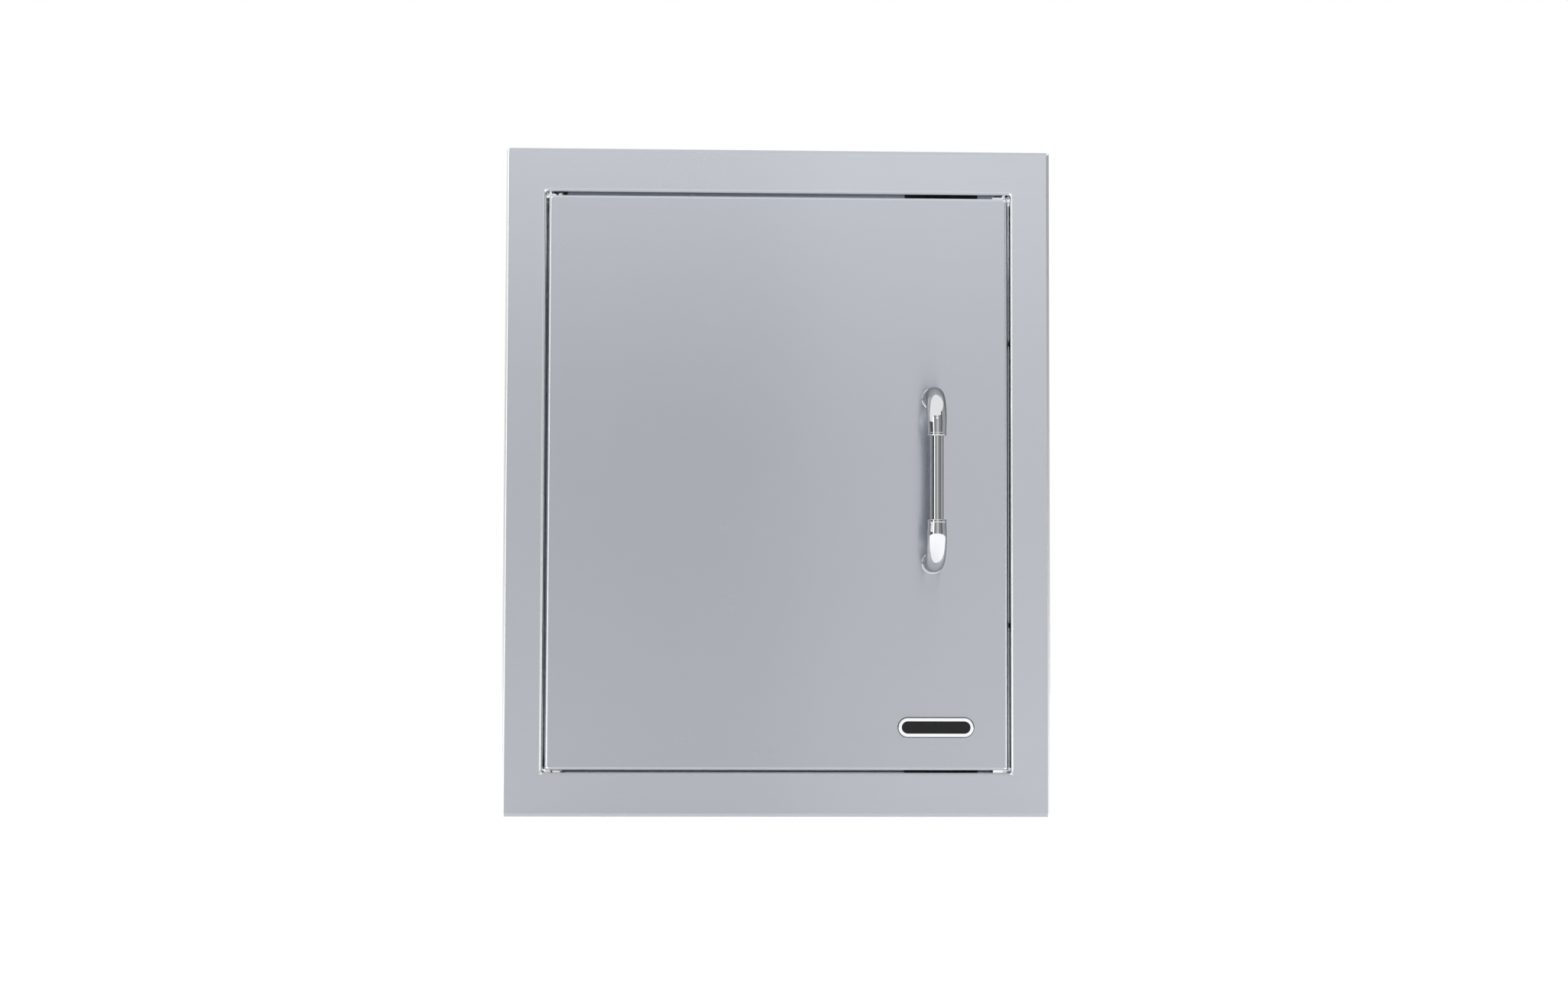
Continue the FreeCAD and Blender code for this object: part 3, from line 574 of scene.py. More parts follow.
FINISHES = {
    # Painted highlight: both brushed sheets are painted lighter on their bends and on their walls, which for
    # the frame are only those that look into the opening.
    "brushed": BrushedSheet("brushed_sheet", (0.478, 0.5, 0.538), 0.25, end_highlight_gain=1.6, down_highlight_gain=1.5),
    "brushed_frame": BrushedSheet("brushed_frame", (0.512, 0.535, 0.574), 0.25, highlight_walls="Inner"),
    "mill": PlatedSteel("mill_finish", (0.7, 0.7, 0.71), 0.08, mottle=0.03),
    "chrome": BrightPlate("chrome_plate", (0.74, 0.75, 0.765), 0.035),
    "zinc": PlatedSteel("zinc_plate", (0.62, 0.63, 0.65), 0.32),
    "pin": PlatedSteel("ground_pin", (0.66, 0.66, 0.67), 0.16, mottle=0.03),
    "rivet": PlatedSteel("rivet_head", (0.76, 0.77, 0.78), 0.28, mottle=0.05),
    "bronze": PlatedSteel("oiled_bronze", (0.50, 0.34, 0.18), 0.42, mottle=0.2),
    "plastic": Moulded("moulded_black", (0.018, 0.018, 0.02), 0.42),
    "nylon": Moulded("natural_nylon", (0.76, 0.75, 0.70), 0.38),
    "rubber": Moulded("buffer_rubber", (0.02, 0.02, 0.021), 0.62),
    "ferrite": Moulded("ferrite_block", (0.06, 0.06, 0.064), 0.55),
    "weld": PlatedSteel("ground_weld", (0.95, 0.95, 0.96), 0.22, mottle=0.04),
    "bead": PlatedSteel("weld_bead", (0.60, 0.60, 0.62), 0.3, mottle=0.12),
    "enamel": Moulded("black_enamel", (0.006, 0.006, 0.007), 0.12, texture=0.00001, shine=0.28),
}
MATERIALS = {key: finish.build() for key, finish in FINISHES.items()}


class Pattern:
    """One Geometry Nodes tree that makes a repeated piece on points or along lines."""

    SMOOTH_ANGLE = math.radians(32.0)
    MERGE = 1e-7
    BEAD_STEPS = 6.0
    BEAD_RIPPLE = 0.22
    BEAD_TAPER = 0.02
    BEAD_TIP = 0.35
    DEAD_PITCH = 2.05

    def __init__(self, name: str, finish: str, **sizes: float) -> None:
        """Starts the tree.

        Args:
            name: the name of the tree and of its piece.
            finish: a key of the finishes.
            sizes: its named inputs, in metres.
        """
        self.name, self.finish = name, finish
        inputs, outputs = {"Geometry": None, **sizes}, {"Geometry": "Geometry"}
        self.w, self.given, self.out = new_group("Geometry", name, inputs, outputs)

    def turned(self, outline: Outline, around: int) -> Socket:
        """A turned solid about Z, closed at both ends of its outline.

        Args:
            outline: from the bottom of the axis to its top, as shares of Radius and Height.
            around: how many sides it has.

        Returns:
            The mesh.
        """
        w, rows = self.w, len(outline)
        sizes = {"Size X": 1.0, "Size Y": 1.0, "Vertices X": around + 1, "Vertices Y": rows}
        grid = w.get("GeometryNodeMeshGrid", sizes)
        index = w.get("GeometryNodeInputIndex")
        shares = w.add("GeometryNodeIndexSwitch", data_type="VECTOR")
        for _ in range(rows - len(shares.index_switch_items)):
            shares.index_switch_items.new()
        w.feed(shares.inputs, {0: w.maths("MODULO", index, float(rows))})
        w.feed(shares.inputs, {row: (reach, 0.0, rise) for row, (reach, rise) in enumerate(outline, 1)})
        share = w.split(shares.outputs[0])
        turn = w.maths("MULTIPLY", w.maths("FLOOR", w.maths("DIVIDE", index, float(rows))), math.tau / around)
        reach = w.maths("MULTIPLY", share["X"], self.given["Radius"])
        rise = w.maths("MULTIPLY", share["Z"], self.given["Height"])
        x, y = (w.maths("MULTIPLY", reach, w.maths(wave, turn)) for wave in ("COSINE", "SINE"))
        placed = w.get("GeometryNodeSetPosition", {"Geometry": grid, "Position": w.join(X=x, Y=y, Z=rise)})
        return w.get("GeometryNodeMergeByDistance", {"Geometry": placed, "Distance": self.MERGE})

    def cross_cut(self, head: Socket, reach: float, width: float, depth: float) -> Socket:
        """Cuts a cross recess into the top of a screw's head.

        Args:
            head: the head's mesh, its top at height zero.
            reach: length of the arms, as a share of Radius.
            width: their width, as a share of Radius.
            depth: their depth, as a share of Radius.

        Returns:
            The cut mesh.
        """
        w = self.w
        cross = w.add("GeometryNodeMeshBoolean", operation="UNION", solver="EXACT")
        for sides in ((reach, width, 2 * depth), (width, reach, 2 * depth)):
            size = {axis: w.maths("MULTIPLY", self.given["Radius"], side) for axis, side in zip("XYZ", sides)}
            w.feed(cross.inputs, {"Mesh 2": w.get("GeometryNodeMeshCube", {"Size": w.join(**size)})})
        cut = {"Mesh 1": head, "Mesh 2": cross.outputs[0]}
        return w.get("GeometryNodeMeshBoolean", cut, operation="DIFFERENCE", solver="EXACT")

    def circle(self, steps: int, radius: Socket) -> Socket:
        """Adds a round curve about Z and returns it."""
        return self.w.get("GeometryNodeCurvePrimitiveCircle", {"Resolution": steps, "Radius": radius})

    def swept(self, path: Socket, wire: Socket, **more: Socket) -> Socket:
        """Sweeps a wire along a path and returns its mesh, closed at its ends."""
        inputs = {"Curve": path, "Profile Curve": wire, "Fill Caps": True, **more}
        return self.w.get("GeometryNodeCurveToMesh", inputs)

    def ring(self, sides: int, around: int) -> Socket:
        """A round ring about Z, with Radius to the middle of its wire, which is Height thick.

        Args:
            sides: sides of the wire.
            around: steps round the ring.

        Returns:
            The mesh.
        """
        half = self.w.maths("MULTIPLY", self.given["Height"], 0.5)
        return self.swept(self.circle(around, self.given["Radius"]), self.circle(sides, half))

    def bead(self, sides: int) -> Socket:
        """Rippled weld beads along the lines that are given, with round ends.

        Args:
            sides: sides of a bead.

        Returns:
            The mesh.
        """
        w, pitch = self.w, self.given["Pitch"]
        lines = w.get("GeometryNodeMeshToCurve", {"Mesh": self.given["Geometry"]})
        steps = {"Curve": lines, "Length": w.maths("DIVIDE", pitch, self.BEAD_STEPS)}
        path = w.get("GeometryNodeResampleCurve", steps, mode="LENGTH")
        along = w.add("GeometryNodeSplineParameter").outputs
        wave = w.maths("SINE", w.maths("MULTIPLY", w.maths("DIVIDE", along["Length"], pitch), math.pi))
        ripple = w.maths("MULTIPLY_ADD", w.maths("ABSOLUTE", wave), self.BEAD_RIPPLE, 1 - self.BEAD_RIPPLE)
        start = w.ramp(along["Factor"], (0.0, self.BEAD_TAPER), (self.BEAD_TIP, 1.0))
        end = w.ramp(along["Factor"], (1 - self.BEAD_TAPER, 1.0), (1.0, self.BEAD_TIP))
        thick = w.maths("MULTIPLY", ripple, w.maths("MULTIPLY", start, end))
        return self.swept(path, self.circle(sides, self.given["Radius"]), Scale=thick)

    def coil(self, turns: int, steps: int, sides: int) -> Socket:
        """A coil spring that stands along Z, with a dead turn at each end.

        Args:
            turns: how many turns it has, with the dead ones.
            steps: steps in a turn.
            sides: sides of the wire.

        Returns:
            The mesh.
        """
        w, given = self.w, self.given
        spiral = {"Resolution": steps, "Rotations": float(turns), "Height": 0.0}
        spiral |= {"Start Radius": given["Radius"], "End Radius": given["Radius"]}
        flat = w.get("GeometryNodeCurveSpiral", spiral)
        along = w.add("GeometryNodeSplineParameter").outputs["Factor"]
        turn = w.maths("MULTIPLY", along, float(turns))
        last = w.maths("MAXIMUM", w.maths("SUBTRACT", turn, turns - 1.0), 0.0)
        dead = w.maths("ADD", w.maths("MINIMUM", turn, 1.0), last)
        live = w.maths("DIVIDE", w.maths("SUBTRACT", turn, dead), turns - 2.0)
        pitch = w.maths("MULTIPLY", given["Wire"], self.DEAD_PITCH)
        open_height = w.maths("MULTIPLY_ADD", pitch, -2.0, given["Height"])
        rise = w.maths("MULTIPLY_ADD", live, open_height, w.maths("MULTIPLY", dead, pitch))
        raised = w.get("GeometryNodeSetPosition", {"Geometry": flat, "Offset": w.join(Z=rise)})
        return self.swept(raised, self.circle(sides, given["Wire"]))

    def stand(self, shape: Socket, seed: Seed) -> None:
        """Ends the tree with a shape on each point, its Z along the point's facing, turned at random.

        Args:
            shape: the mesh to repeat.
            seed: seed of the turns.
        """
        w = self.w
        facing = w.get("GeometryNodeInputNamedAttribute", {"Name": "facing"}, data_type="FLOAT_VECTOR")
        upright = w.get("FunctionNodeAlignRotationToVector", {"Vector": facing}, axis="Z")
        chance = {3: math.tau, "Seed": seed.value}
        spin = w.add("FunctionNodeRandomValue", chance, data_type="FLOAT").outputs[1]
        by = w.get("FunctionNodeEulerToRotation", {0: w.join(Z=spin)})
        turns = {"Rotation": upright, "Rotate By": by}
        turn = w.get("FunctionNodeRotateRotation", turns, rotation_space="LOCAL")
        inputs = {"Points": self.given["Geometry"], "Instance": shape, "Rotation": turn}
        self.close(w.get("GeometryNodeInstanceOnPoints", inputs))

    def close(self, shape: Socket) -> None:
        """Ends the tree with real meshes, shaded by angle, in their finish.

        Args:
            shape: what the tree has made.
        """
        w = self.w
        real = w.get("GeometryNodeRealizeInstances", {0: shape})
        smooth = w.get("GeometryNodeSetShadeSmooth", {"Geometry": real, "Shade Smooth": True}, domain="FACE")
        angle = w.add("GeometryNodeInputMeshEdgeAngle").outputs["Unsigned Angle"]
        sharp = w.maths("GREATER_THAN", angle, self.SMOOTH_ANGLE)
        edges = {"Geometry": smooth, "Selection": sharp, "Shade Smooth": False}
        shaded = w.get("GeometryNodeSetShadeSmooth", edges, domain="EDGE")
        inputs = {"Geometry": shaded, "Material": MATERIALS[self.finish]}
        w.feed(self.out, {0: w.get("GeometryNodeSetMaterial", inputs)})

    def make(self, places: list[Place], edges: tuple[tuple[int, int], ...] = ()) -> Object:
        """Runs the tree once and keeps its result as a plain mesh.

        Args:
            places: a point and a facing for each place.
            edges: lines between the points, by number.

        Returns:
            The piece, at the origin.
        """
        mesh = bpy.data.meshes.new("places")
        mesh.from_pydata([point for point, _ in places], edges, [])
        facing = mesh.attributes.new("facing", "FLOAT_VECTOR", "POINT")
        for item, (_, direction) in zip(facing.data, places):
            item.vector = direction
        carrier = add_object("places", mesh)
        modifier = carrier.modifiers.new("pattern", "NODES")
        modifier.node_group = self.w.tree
        graph = bpy.context.evaluated_depsgraph_get()
        made = bpy.data.meshes.new_from_object(carrier.evaluated_get(graph), depsgraph=graph)
        carrier.modifiers.remove(modifier)
        bpy.data.objects.remove(carrier)
        made.name = self.name
        made.materials.clear()
        made.materials.append(MATERIALS[self.finish])
        return add_object(self.name, made)


@dataclass(frozen=True)
class Screws:
    """Countersunk screws with ridges and a cross recess, which are given in shares of the head's radius."""

    NECK = -0.6
    RIDGE_PITCH = 0.17
    PLAIN_LENGTH = 0.75
    TIP, ROOT, CREST = 0.4, 0.44, 0.53
    HEAD = ((0.44, -0.6), (0.53, -0.47), (0.97, -0.04), (1.0, 0.0), (0.93, 0.0), (0.0, 0.0))
    CROSS = {"reach": 1.15, "width": 0.24, "depth": 0.34}

    packed: str
    plate: str
    facing: Point
    radius: float
    margin: float

    def make(self, name: str) -> Object:
        """Makes the screws in the place of packed ones, in from the ends of the plates that they hold.

        Args:
            name: the piece's name.

        Returns:
            The piece.
        """
        box, plate = Span(self.packed), Span(self.plate)
        reach = box.size.y / self.radius
        outline = [(0.0, -reach), (self.TIP, -reach)]
        for ridge in range(int((reach - self.PLAIN_LENGTH) / self.RIDGE_PITCH), 0, -1):
            low = self.NECK - self.RIDGE_PITCH * ridge
            outline += [(self.ROOT, low), (self.CREST, low + self.RIDGE_PITCH / 2)]
        pattern = Pattern(name, "zinc", Radius=self.radius, Height=self.radius)
        screw = pattern.turned((*outline, *self.HEAD), around=28)
        pattern.stand(pattern.cross_cut(screw, **self.CROSS), Seed.SCREW)
        across = (plate.low.x + self.margin, plate.high.x - self.margin)
        face = box.low.y if self.facing == FORWARDS else box.high.y
        ends = (box.low.z + self.radius, box.high.z - self.radius)
        return pattern.make([((x, face, z), self.facing) for x in across for z in ends])


@dataclass(frozen=True)
class GroundWeld:
    """A round weld at a corner, ground off just proud of the sheet."""

    radius: float
    rise: float = 0.0001
    steps: int = 12

    def make(self, name: str, seed: Seed, places: list[Place]) -> Object:
        """Makes a piece of these welds.

        Args:
            name: the piece's name.
            seed: seed of the welds' turns.
            places: a point and a facing for each weld.

        Returns:
            The piece.
        """
        arc = [math.pi * step / self.steps for step in range(self.steps + 1)]
        outline = tuple((math.sin(angle), -math.cos(angle)) for angle in arc)
        pattern = Pattern(name, "weld", Radius=self.radius, Height=self.radius)
        pattern.stand(pattern.turned(outline, around=2 * self.steps), seed)
        return pattern.make(places)


def hand_over(piece: Object, body: str, slot: str, *replaced: str) -> None:
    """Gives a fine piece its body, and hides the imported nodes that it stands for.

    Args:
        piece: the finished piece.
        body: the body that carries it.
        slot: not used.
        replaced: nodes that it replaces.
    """
    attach(piece, body)
    if replaced:
        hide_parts(*replaced)
    LOG.info("%s: %d faces on %s", piece.name, len(piece.data.polygons), body)


@dataclass
class Assembly:
    """The pieces of one body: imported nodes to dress, and fine pieces to add."""

    body: str
    finishes: Dressing

    def build(self) -> None:
        """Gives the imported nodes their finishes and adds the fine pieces."""
        for finish, nodes in self.finishes.items():
            for node in nodes:
                materials = frame["nodes"][node].data.materials
                materials.clear()
                materials.append(MATERIALS[finish])
                LOG.info("%s dressed in %s", node, finish)
        self.refine()

    def refine(self) -> None:
        """Adds the fine pieces, where the body has any."""


@dataclass
class FaceFrame(Assembly):
    """The folded frame with its stops, pivots and catches."""

    SPOT_OUTLINE = (
        (0.0, -1.0), (1.0, -1.0), (1.0, 0.0), (0.9, 0.8), (0.78, 1.0), (0.66, 0.6), (0.4, 0.3), (0.0, 0.22),
    )

    body: str = "frame"
    finishes: Dressing = field(default_factory=lambda: {
        "brushed_frame": ("face_frame",),
        "brushed": ("upper_stop",),
        "mill": ("hinge_side_stop", "latch_side_stop", "lower_stop"),
        "zinc": ("upper_pivot_plate", "lower_pivot_plate", "pole_plates", "catch_screws"),
        "pin": ("lower_pin",),
        "nylon": ("thrust_washer",),
        "rubber": ("stop_bumpers",),
        "plastic": ("upper_bush", "upper_catch_case", "lower_catch_case"),
        "ferrite": ("upper_magnet", "lower_magnet"),
    })
    screws: Screws = Screws("catch_screws", "upper_catch_case", FORWARDS, radius=0.0028, margin=0.004)
    sheet: float = 0.0012
    weld: GroundWeld = GroundWeld(radius=0.0019)
    weld_inset: float = 0.0011
    bead_radius: float = 0.0012
    bead_pitch: float = 0.0017
    bead_margin: float = 0.004
    bead_inset: float = 0.0004
    spot_radius: float = 0.003
    spot_rise: float = 0.0002
    spot_pitch: float = 0.08
    spots_on_side: int = 5
    spots_on_end: int = 4

    def __post_init__(self) -> None:
        """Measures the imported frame, whose stops stand on the opening's walls."""
        self.box, self.stop = Span("face_frame"), Span("upper_stop")
        self.opening_x, self.opening_z = Span("latch_side_stop").high.x, self.stop.high.z

    def refine(self) -> None:
        """Adds the frame's screws and welds."""
        hand_over(self.screws.make("catch_cross_screws"), self.body, "zinc_steel", "catch_screws")
        self.make_corner_welds()
        self.make_jamb_beads()
        self.make_spot_welds()

    def corners(self, inset: float) -> list[Pair]:
        """Returns the opening's four corners, a little into the sheet, as across and up."""
        x, z = self.opening_x + inset, self.opening_z + inset
        return [(side * x, end * z) for side in (-1, 1) for end in (-1, 1)]

    def make_corner_welds(self) -> None:
        """Ground welds that close the opening's folds at its corners."""
        depth = self.box.low.y + self.weld.radius - self.weld.rise
        places = [((x, depth, z), FORWARDS) for x, z in self.corners(self.weld_inset)]
        piece = self.weld.make("opening_corner_welds", Seed.OPENING_WELD, places)
        hand_over(piece, self.body, "brushed_stainless")

    def make_jamb_beads(self) -> None:
        """Weld beads down the jamb's four outer corners."""
        pattern = Pattern("jamb_corner_beads", "bead", Radius=self.bead_radius, Pitch=self.bead_pitch)
        pattern.close(pattern.bead(sides=10))
        places, edges = [], []
        for x, z in self.corners(self.bead_inset):
            edges.append((len(places), len(places) + 1))
            for y in (self.box.low.y + self.bead_margin, self.box.high.y - self.bead_radius):
                places.append(((x, y, z), BACKWARDS))
        piece = pattern.make(places, tuple(edges))
        hand_over(piece, self.body, "brushed_stainless")

    def make_spot_welds(self) -> None:
        """Spot-weld marks on the jamb, where the stops' feet are welded inside."""
        pattern = Pattern("stop_spot_welds", "bead", Radius=self.spot_radius, Height=self.spot_rise)
        pattern.stand(pattern.turned(self.SPOT_OUTLINE, around=20), Seed.SPOT_WELD)
        x, y, z = self.opening_x + self.sheet, self.stop.middle.y, self.opening_z + self.sheet
        places = []
        for side in (-1.0, 1.0):
            for along in spread(self.spots_on_side, self.spot_pitch):
                places.append(((side * x, y, along), (side, 0.0, 0.0)))
            for along in spread(self.spots_on_end, self.spot_pitch):
                places.append(((along, y, side * z), (0.0, 0.0, side)))
        piece = pattern.make(places)
        hand_over(piece, self.body, "brushed_stainless")


@dataclass
class Door(Assembly):
    """The double-walled door with its handle and badge."""

    RIVET_OUTLINE = (
        (0.0, -4.7), (0.44, -4.7), (0.5, -4.4), (0.5, 0.0), (1.0, 0.0), (1.0, 0.14), (0.93, 0.4), (0.8, 0.7),
        (0.6, 0.93), (0.4, 1.0), (0.28, 0.96), (0.24, 0.45), (0.19, 0.45), (0.17, 0.7), (0.0, 0.74),
    )

    body: str = "door"
    finishes: Dressing = field(default_factory=lambda: {
        "brushed": ("door_skin", "door_liner"),
        "chrome": ("upper_elbow", "lower_elbow", "grip_tube", "badge_rim"),
        "enamel": ("badge_inlay",),
        "rivet": ("liner_rivets",),
        "zinc": (
            "hinge_side_channel", "latch_side_channel", "spring_bracket", "lower_pivot_block", "upper_strike",
            "lower_strike", "strike_screws", "handle_backing", "handle_washers", "handle_screws",
        ),
        "nylon": ("upper_guide",),
        "bronze": ("lower_bush",),
        "pin": ("pin_spring",),
    })
    rivet_edge: float = 0.005
    rivet_radius: float = 0.0032
    rivet_rise: float = 0.0009
    rivet_pitch: float = 0.08
    rivet_rows: int = 5
    rivet_columns: int = 3
    rivet_columns_x: float = -0.0434
    screws: Screws = Screws("strike_screws", "upper_strike", BACKWARDS, radius=0.0026, margin=0.008)
    foot_wire: float = 0.0014
    foot_margin: float = 0.0004
    # Sizes of the painted shade round the badge's rim.
    shade_margin: float = 0.0005
    shade_sheet: float = 0.0006
    shade_edge: float = 0.0002
    shade_steps: int = 24
    weld: GroundWeld = GroundWeld(radius=0.0023)
    bracket_lug: float = 0.003
    spring_gap: float = 0.0002
    spring_radius: float = 0.0042
    spring_wire: float = 0.0004
    spring_turns: int = 10

    def __post_init__(self) -> None:
        """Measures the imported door."""
        self.skin, self.back = Span("door_skin"), Span("door_liner").high.y

    def refine(self) -> None:
        """Adds the door's fine pieces."""
        self.make_spring()
        self.make_rivets()
        hand_over(self.screws.make("strike_cross_screws"), self.body, "zinc_steel", "strike_screws")
        self.make_foot_rings()
        self.make_corner_welds()
        self.make_badge_shade_ring()

    def make_spring(self) -> None:
        """The upper pin's spring, made once at rest and tied to neither body, though the real one shortens as
        the pin slides down.
        """
        x, y, _ = next(joint["pos_m"] for joint in frame["joints"] if joint["name"] == "door_swing")
        inset = self.spring_gap + self.spring_wire
        low = Vector((x, y, Span("spring_bracket").low.z + self.bracket_lug + inset))
        high = Vector((x, y, Span("stop_ring").low.z - inset))
        sizes = {"Radius": self.spring_radius, "Height": (high - low).length, "Wire": self.spring_wire}
        pattern = Pattern("pin_coil_spring", "pin", **sizes)
        pattern.stand(pattern.coil(self.spring_turns, steps=32, sides=12), Seed.SPRING)
        piece = pattern.make([(tuple(low), UPWARDS)])
        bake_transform(piece)
        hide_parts("pin_spring")
        LOG.info("%s: %d faces between two bodies", piece.name, len(piece.data.polygons))

    def make_rivets(self) -> None:
        """Blind rivets round the liner, with the stubs of their drawn pins."""
        pattern = Pattern("blind_rivets", "rivet", Radius=self.rivet_radius, Height=self.rivet_rise)
        pattern.stand(pattern.turned(self.RIVET_OUTLINE, around=24), Seed.RIVET)
        skin = self.skin
        sides = (skin.low.x + self.rivet_edge, skin.high.x - self.rivet_edge)
        ends = (skin.high.z - self.rivet_edge, skin.low.z + self.rivet_edge)
        rows = spread(self.rivet_rows, self.rivet_pitch, skin.middle.z)
        columns = spread(self.rivet_columns, self.rivet_pitch, self.rivet_columns_x)
        spots = [(x, z) for x in sides for z in rows] + [(x, z) for x in columns for z in ends]
        piece = pattern.make([((x, self.back, z), BACKWARDS) for x, z in spots])
        hand_over(piece, self.body, "rivet_aluminium", "liner_rivets")

    def make_foot_rings(self) -> None:
        """A thin bright ring round each foot of the handle."""
        upper, lower = Span("upper_elbow"), Span("lower_elbow")
        foot = upper.size.x / 2
        sizes = {"Radius": foot + self.foot_margin, "Height": self.foot_wire}
        pattern = Pattern("handle_foot_rings", "chrome", **sizes)
        pattern.stand(pattern.ring(sides=12, around=64), Seed.FOOT_RING)
        x, depth = upper.middle.x, self.skin.low.y - self.foot_wire / 2
        piece = pattern.make([((x, depth, z), FORWARDS) for z in (upper.high.z - foot, lower.low.z + foot)])
        hand_over(piece, self.body, "polished_chrome")

    def make_corner_welds(self) -> None:
        """Ground welds at the door's front corners."""
        skin, inset = self.skin, self.weld.radius - self.weld.rise
        sides = (skin.low.x + inset, skin.high.x - inset)
        ends = (skin.low.z + inset, skin.high.z - inset)
        places = [((x, skin.low.y + inset, z), FORWARDS) for x in sides for z in ends]
        piece = self.weld.make("door_corner_welds", Seed.DOOR_WELD, places)
        hand_over(piece, self.body, "brushed_stainless")

    def make_badge_shade_ring(self) -> None:
        """Painted shade: a thin black sheet round the badge's rim that draws the dark outline of shade and
        reflection there.
        """
        badge = Span("badge_rim")
        width, height = badge.size.x, badge.size.z
        radius = height / 2 + self.shade_margin
        rim = []
        for side in (1, -1):
            middle = badge.middle.x + side * (width - height) / 2
            for step in range(self.shade_steps + 1):
                turn = math.pi * (step / self.shade_steps - side / 2)
                x, z = middle + radius * math.cos(turn), badge.middle.z + radius * math.sin(turn)
                rim.append((x, self.skin.low.y, z))
        shape = bmesh.new()
        base = shape.faces.new([shape.verts.new(point) for point in rim])
        raised = bmesh.ops.extrude_face_region(shape, geom=[base])["geom"]
        moved = [item for item in raised if isinstance(item, bmesh.types.BMVert)]
        bmesh.ops.translate(shape, verts=moved, vec=(0.0, -self.shade_sheet, 0.0))
        edges = [edge for edge in shape.edges if all(vert in moved for vert in edge.verts)]
        bmesh.ops.bevel(shape, geom=edges, offset=self.shade_edge, segments=2, affect="EDGES", profile=0.5)
        bmesh.ops.recalc_face_normals(shape, faces=shape.faces)
        mesh = bpy.data.meshes.new("badge_shade_outline")
        shape.to_mesh(mesh)
        shape.free()
        # Painted shade: black so that it draws a dark outline round the rim.
        mesh.materials.append(MATERIALS["rubber"])
        hand_over(add_object("badge_shade_outline", mesh), self.body, "black_rubber")


@dataclass
class UpperPin(Assembly):
    """The sliding pin with its ring and finger knob."""

    body: str = "upper_pin"
    finishes: Dressing = field(default_factory=lambda: {
        "pin": ("upper_pin", "stop_ring"),
        "plastic": ("finger_knob",),
    })


@dataclass(frozen=True)
class Panel:
    """One upright panel of the studio's wall, from one angle to another round the object, in degrees."""

    name: str
    start: float
    end: float
    light: float
    low: float = -0.3
    high: float = 2.6


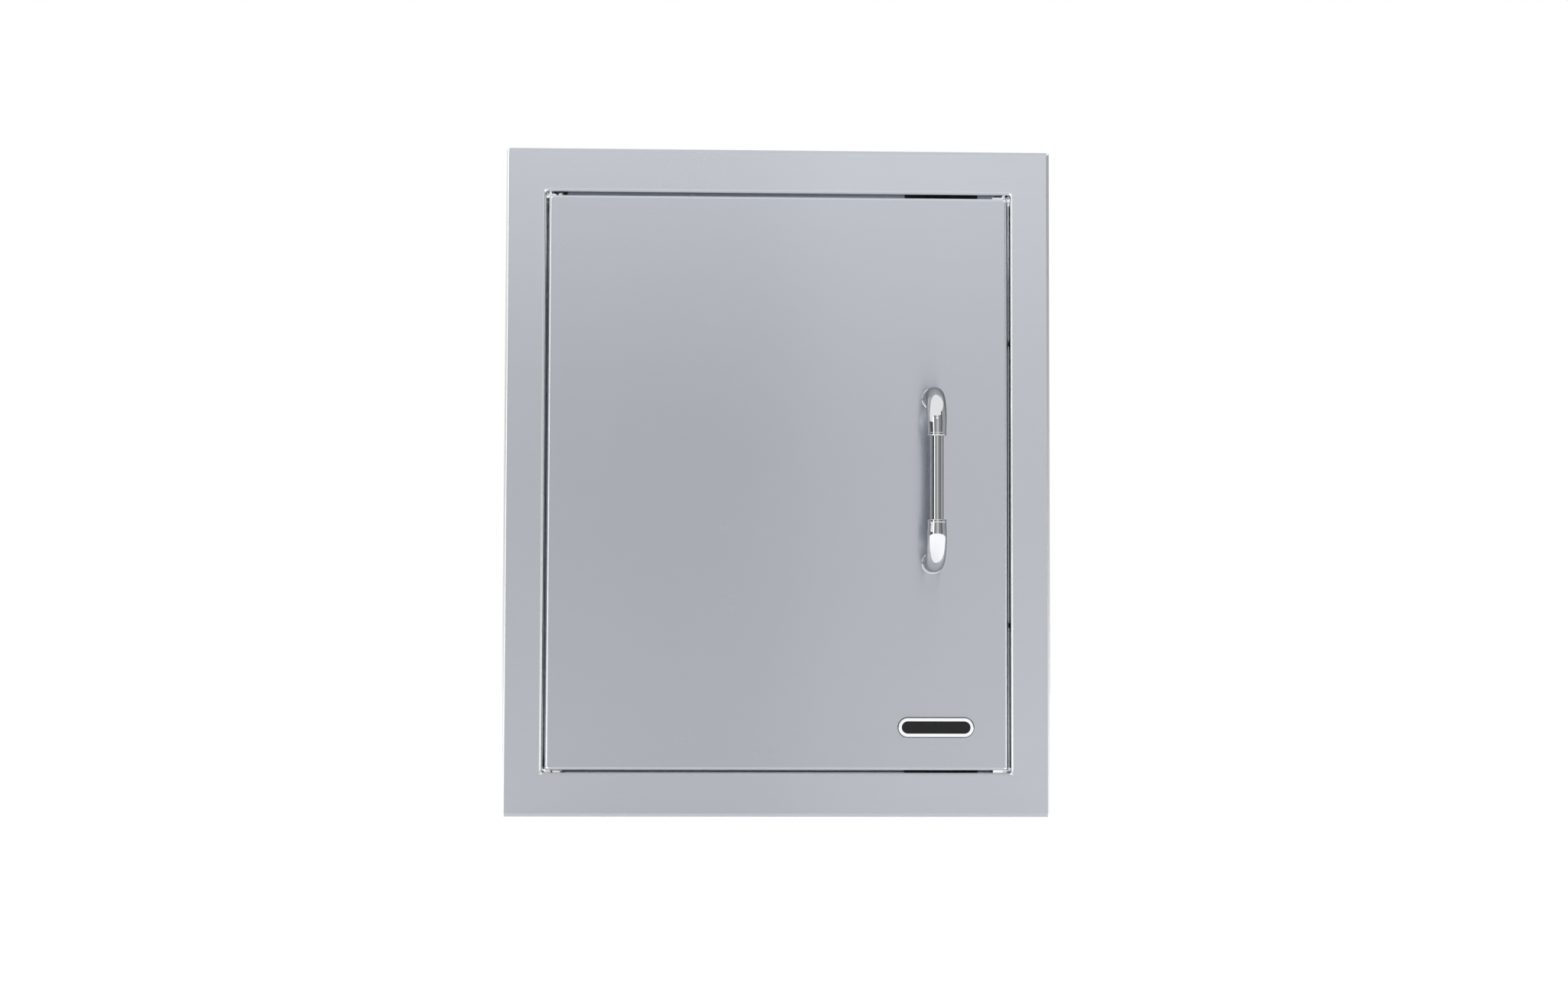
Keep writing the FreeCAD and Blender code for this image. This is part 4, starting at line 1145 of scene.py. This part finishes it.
@dataclass
class Studio:
    """Floor, white surroundings, soft lights and the camera."""

    floor_reach: float = 5.2
    floor_gap: float = 0.0004
    floor_colour: Shade = (0.8, 0.8, 0.8, 1.0)
    floor_lift: float = 0.663
    far_lift: float = 0.5
    fade: Pair = (0.5, 2.2)
    world_light: float = 0.857
    camera_place: Point = (-0.06788, -2.11246, -0.13448)
    camera_turn: Point = (93.1538, -0.1801, -1.9959)
    lens: float = 58.008
    sensor: float = 36.0
    far_clip: float = 100.0
    brow_place: Point = (0.05, -1.1, 0.5)
    brow_aim: Point = (0.05, 0.0, 0.36)
    brow_size: Pair = (1.8, 0.3)
    brow_spread: float = 40.0
    brow_power: float = 0.1
    wall_radius: float = 5.5
    wall_step: float = 4.0
    panels: tuple[Panel, ...] = (
        Panel("left_back", -178.0, -93.0, 0.68, high=1.2),
        Panel("left_dark", -93.0, -49.0, 0.1, high=0.8),
        Panel("left_strip", -49.0, -37.0, 1.9, high=2.0),
        Panel("front_a", -37.0, -26.0, 0.2),
        Panel("front_b", -26.0, -14.0, 0.31),
        Panel("front_c", -14.0, -7.0, 0.52),
        Panel("front_d", -7.0, -3.0, 0.48),
        Panel("front_e", -3.0, 0.0, 0.43),
        Panel("front_f", 0.0, 2.5, 0.42),
        Panel("front_g", 2.5, 6.0, 0.71, high=1.0),
        Panel("front_h", 6.0, 10.0, 0.82, high=1.0),
        Panel("front_over", 2.5, 10.0, 0.58, low=1.0),
        Panel("front_i", 10.0, 14.0, 0.75),
        Panel("front_j", 14.0, 20.0, 0.45),
        Panel("front_k", 20.0, 35.0, 0.3),
        Panel("front_l", 35.0, 50.0, 0.265),
        Panel("right_dark", 50.0, 62.0, 0.1, high=3.5),
        Panel("right", 62.0, 130.0, 0.4, high=3.5),
    )

    def build(self) -> None:
        """Makes the studio."""
        self.make_camera()
        self.make_world()
        self.make_floor()
        for panel in self.panels:
            self.make_panel(panel)
        self.make_brow()
        bpy.context.scene.view_settings.view_transform = "Standard"

    def make_camera(self) -> None:
        """Stands the camera where the photograph was taken."""
        data = bpy.data.cameras.new("camera")
        data.lens = self.lens
        data.sensor_width = self.sensor
        data.clip_end = self.far_clip
        camera = add_object("camera", data)
        camera.location = self.camera_place
        camera.rotation_euler = [math.radians(angle) for angle in self.camera_turn]
        bpy.context.scene.camera = camera

    def shown(self, w: Wiring) -> Socket:
        """Tells the rays that show a surface from those that only light others.

        Args:
            w: the wiring of the material or world.

        Returns:
            1 for rays from the camera, from gloss and through glass, and 0 for the others.
        """
        path = w.add("ShaderNodeLightPath").outputs
        gloss = w.maths("MAXIMUM", path["Is Glossy Ray"], path["Is Transmission Ray"])
        return w.maths("MAXIMUM", path["Is Camera Ray"], gloss)

    def make_world(self) -> None:
        """White surroundings that light the object at a plain level."""
        world = bpy.data.worlds.new("studio")
        bpy.context.scene.world = world
        w = Wiring.blank(world)
        strength = w.ramp(self.shown(w), WHOLE, (self.world_light, 1.0))
        light = w.get("ShaderNodeBackground", {"Color": WHITE, "Strength": strength})
        w.end(light, "ShaderNodeOutputWorld")

    def add_sheet(self, name: str, points: list[Point], faces: list[tuple]) -> tuple[Object, Wiring]:
        """Adds a mesh with a material of its own.

        Args:
            name: name of both.
            points: the mesh's points.
            faces: its faces, by number of point.

        Returns:
            The object and its material's wiring.
        """
        mesh = bpy.data.meshes.new(name)
        mesh.from_pydata(points, [], faces)
        material = bpy.data.materials.new(name)
        mesh.materials.append(material)
        return add_object(name, mesh), Wiring.blank(material)

    def make_floor(self) -> None:
        """Plain pale floor that keeps the object's shadow."""
        reach, level = self.floor_reach, CAD_BOX[0].z - self.floor_gap
        signs = ((-1, -1), (1, -1), (1, 1), (-1, 1))
        corners = [(x * reach, y * reach, level) for x, y in signs]
        floor, w = self.add_sheet("floor", corners, [(0, 1, 2, 3)])
        away = w.vector("LENGTH", {0: w.add("ShaderNodeTexCoord").outputs["Object"]})
        camera = w.add("ShaderNodeLightPath").outputs["Is Camera Ray"]
        far = w.maths("MULTIPLY", camera, w.ramp(away, self.fade, (0.0, self.far_lift)))
        strength = w.maths("MULTIPLY_ADD", self.shown(w), self.floor_lift, far)
        matt = w.get("ShaderNodeBsdfDiffuse", {"Color": self.floor_colour})
        lift = w.get("ShaderNodeEmission", {"Color": WHITE, "Strength": strength})
        w.end(w.get("ShaderNodeAddShader", {0: matt, 1: lift}))

    def make_panel(self, panel: Panel) -> None:
        """Stands a panel on its arc round the object, out of the camera's sight.

        Args:
            panel: its angles, its heights and its light.
        """
        steps = max(1, round((panel.end - panel.start) / self.wall_step))
        points = []
        for index in range(steps + 1):
            angle = math.radians(panel.start + (panel.end - panel.start) * index / steps)
            x, y = self.wall_radius * math.sin(angle), -self.wall_radius * math.cos(angle)
            points.extend([(x, y, panel.low), (x, y, panel.high)])
        faces = [(2 * i, 2 * i + 1, 2 * i + 3, 2 * i + 2) for i in range(steps)]
        wall, w = self.add_sheet(panel.name, points, faces)
        wall.visible_camera = False
        w.end(w.get("ShaderNodeEmission", {"Color": WHITE, "Strength": panel.light}))

    def make_brow(self) -> None:
        """A low strip of light on the frame's upper part."""
        data = bpy.data.lights.new("brow", "AREA")
        data.shape = "RECTANGLE"
        data.size, data.size_y = self.brow_size
        data.spread = math.radians(self.brow_spread)
        data.energy = self.brow_power
        lamp = add_object("brow", data)
        lamp.location = self.brow_place
        aim = Vector(self.brow_aim) - Vector(self.brow_place)
        lamp.rotation_euler = aim.to_track_quat("-Z", "Y").to_euler()
        lamp.visible_camera = False


def main() -> None:
    """Builds the door's pieces in order, and then the studio."""
    logging.basicConfig(level=logging.INFO, format="%(name)s: %(message)s")
    for part in (FaceFrame(), Door(), UpperPin()):
        part.build()
    Studio().build()


if __name__ == "__main__":
    main()
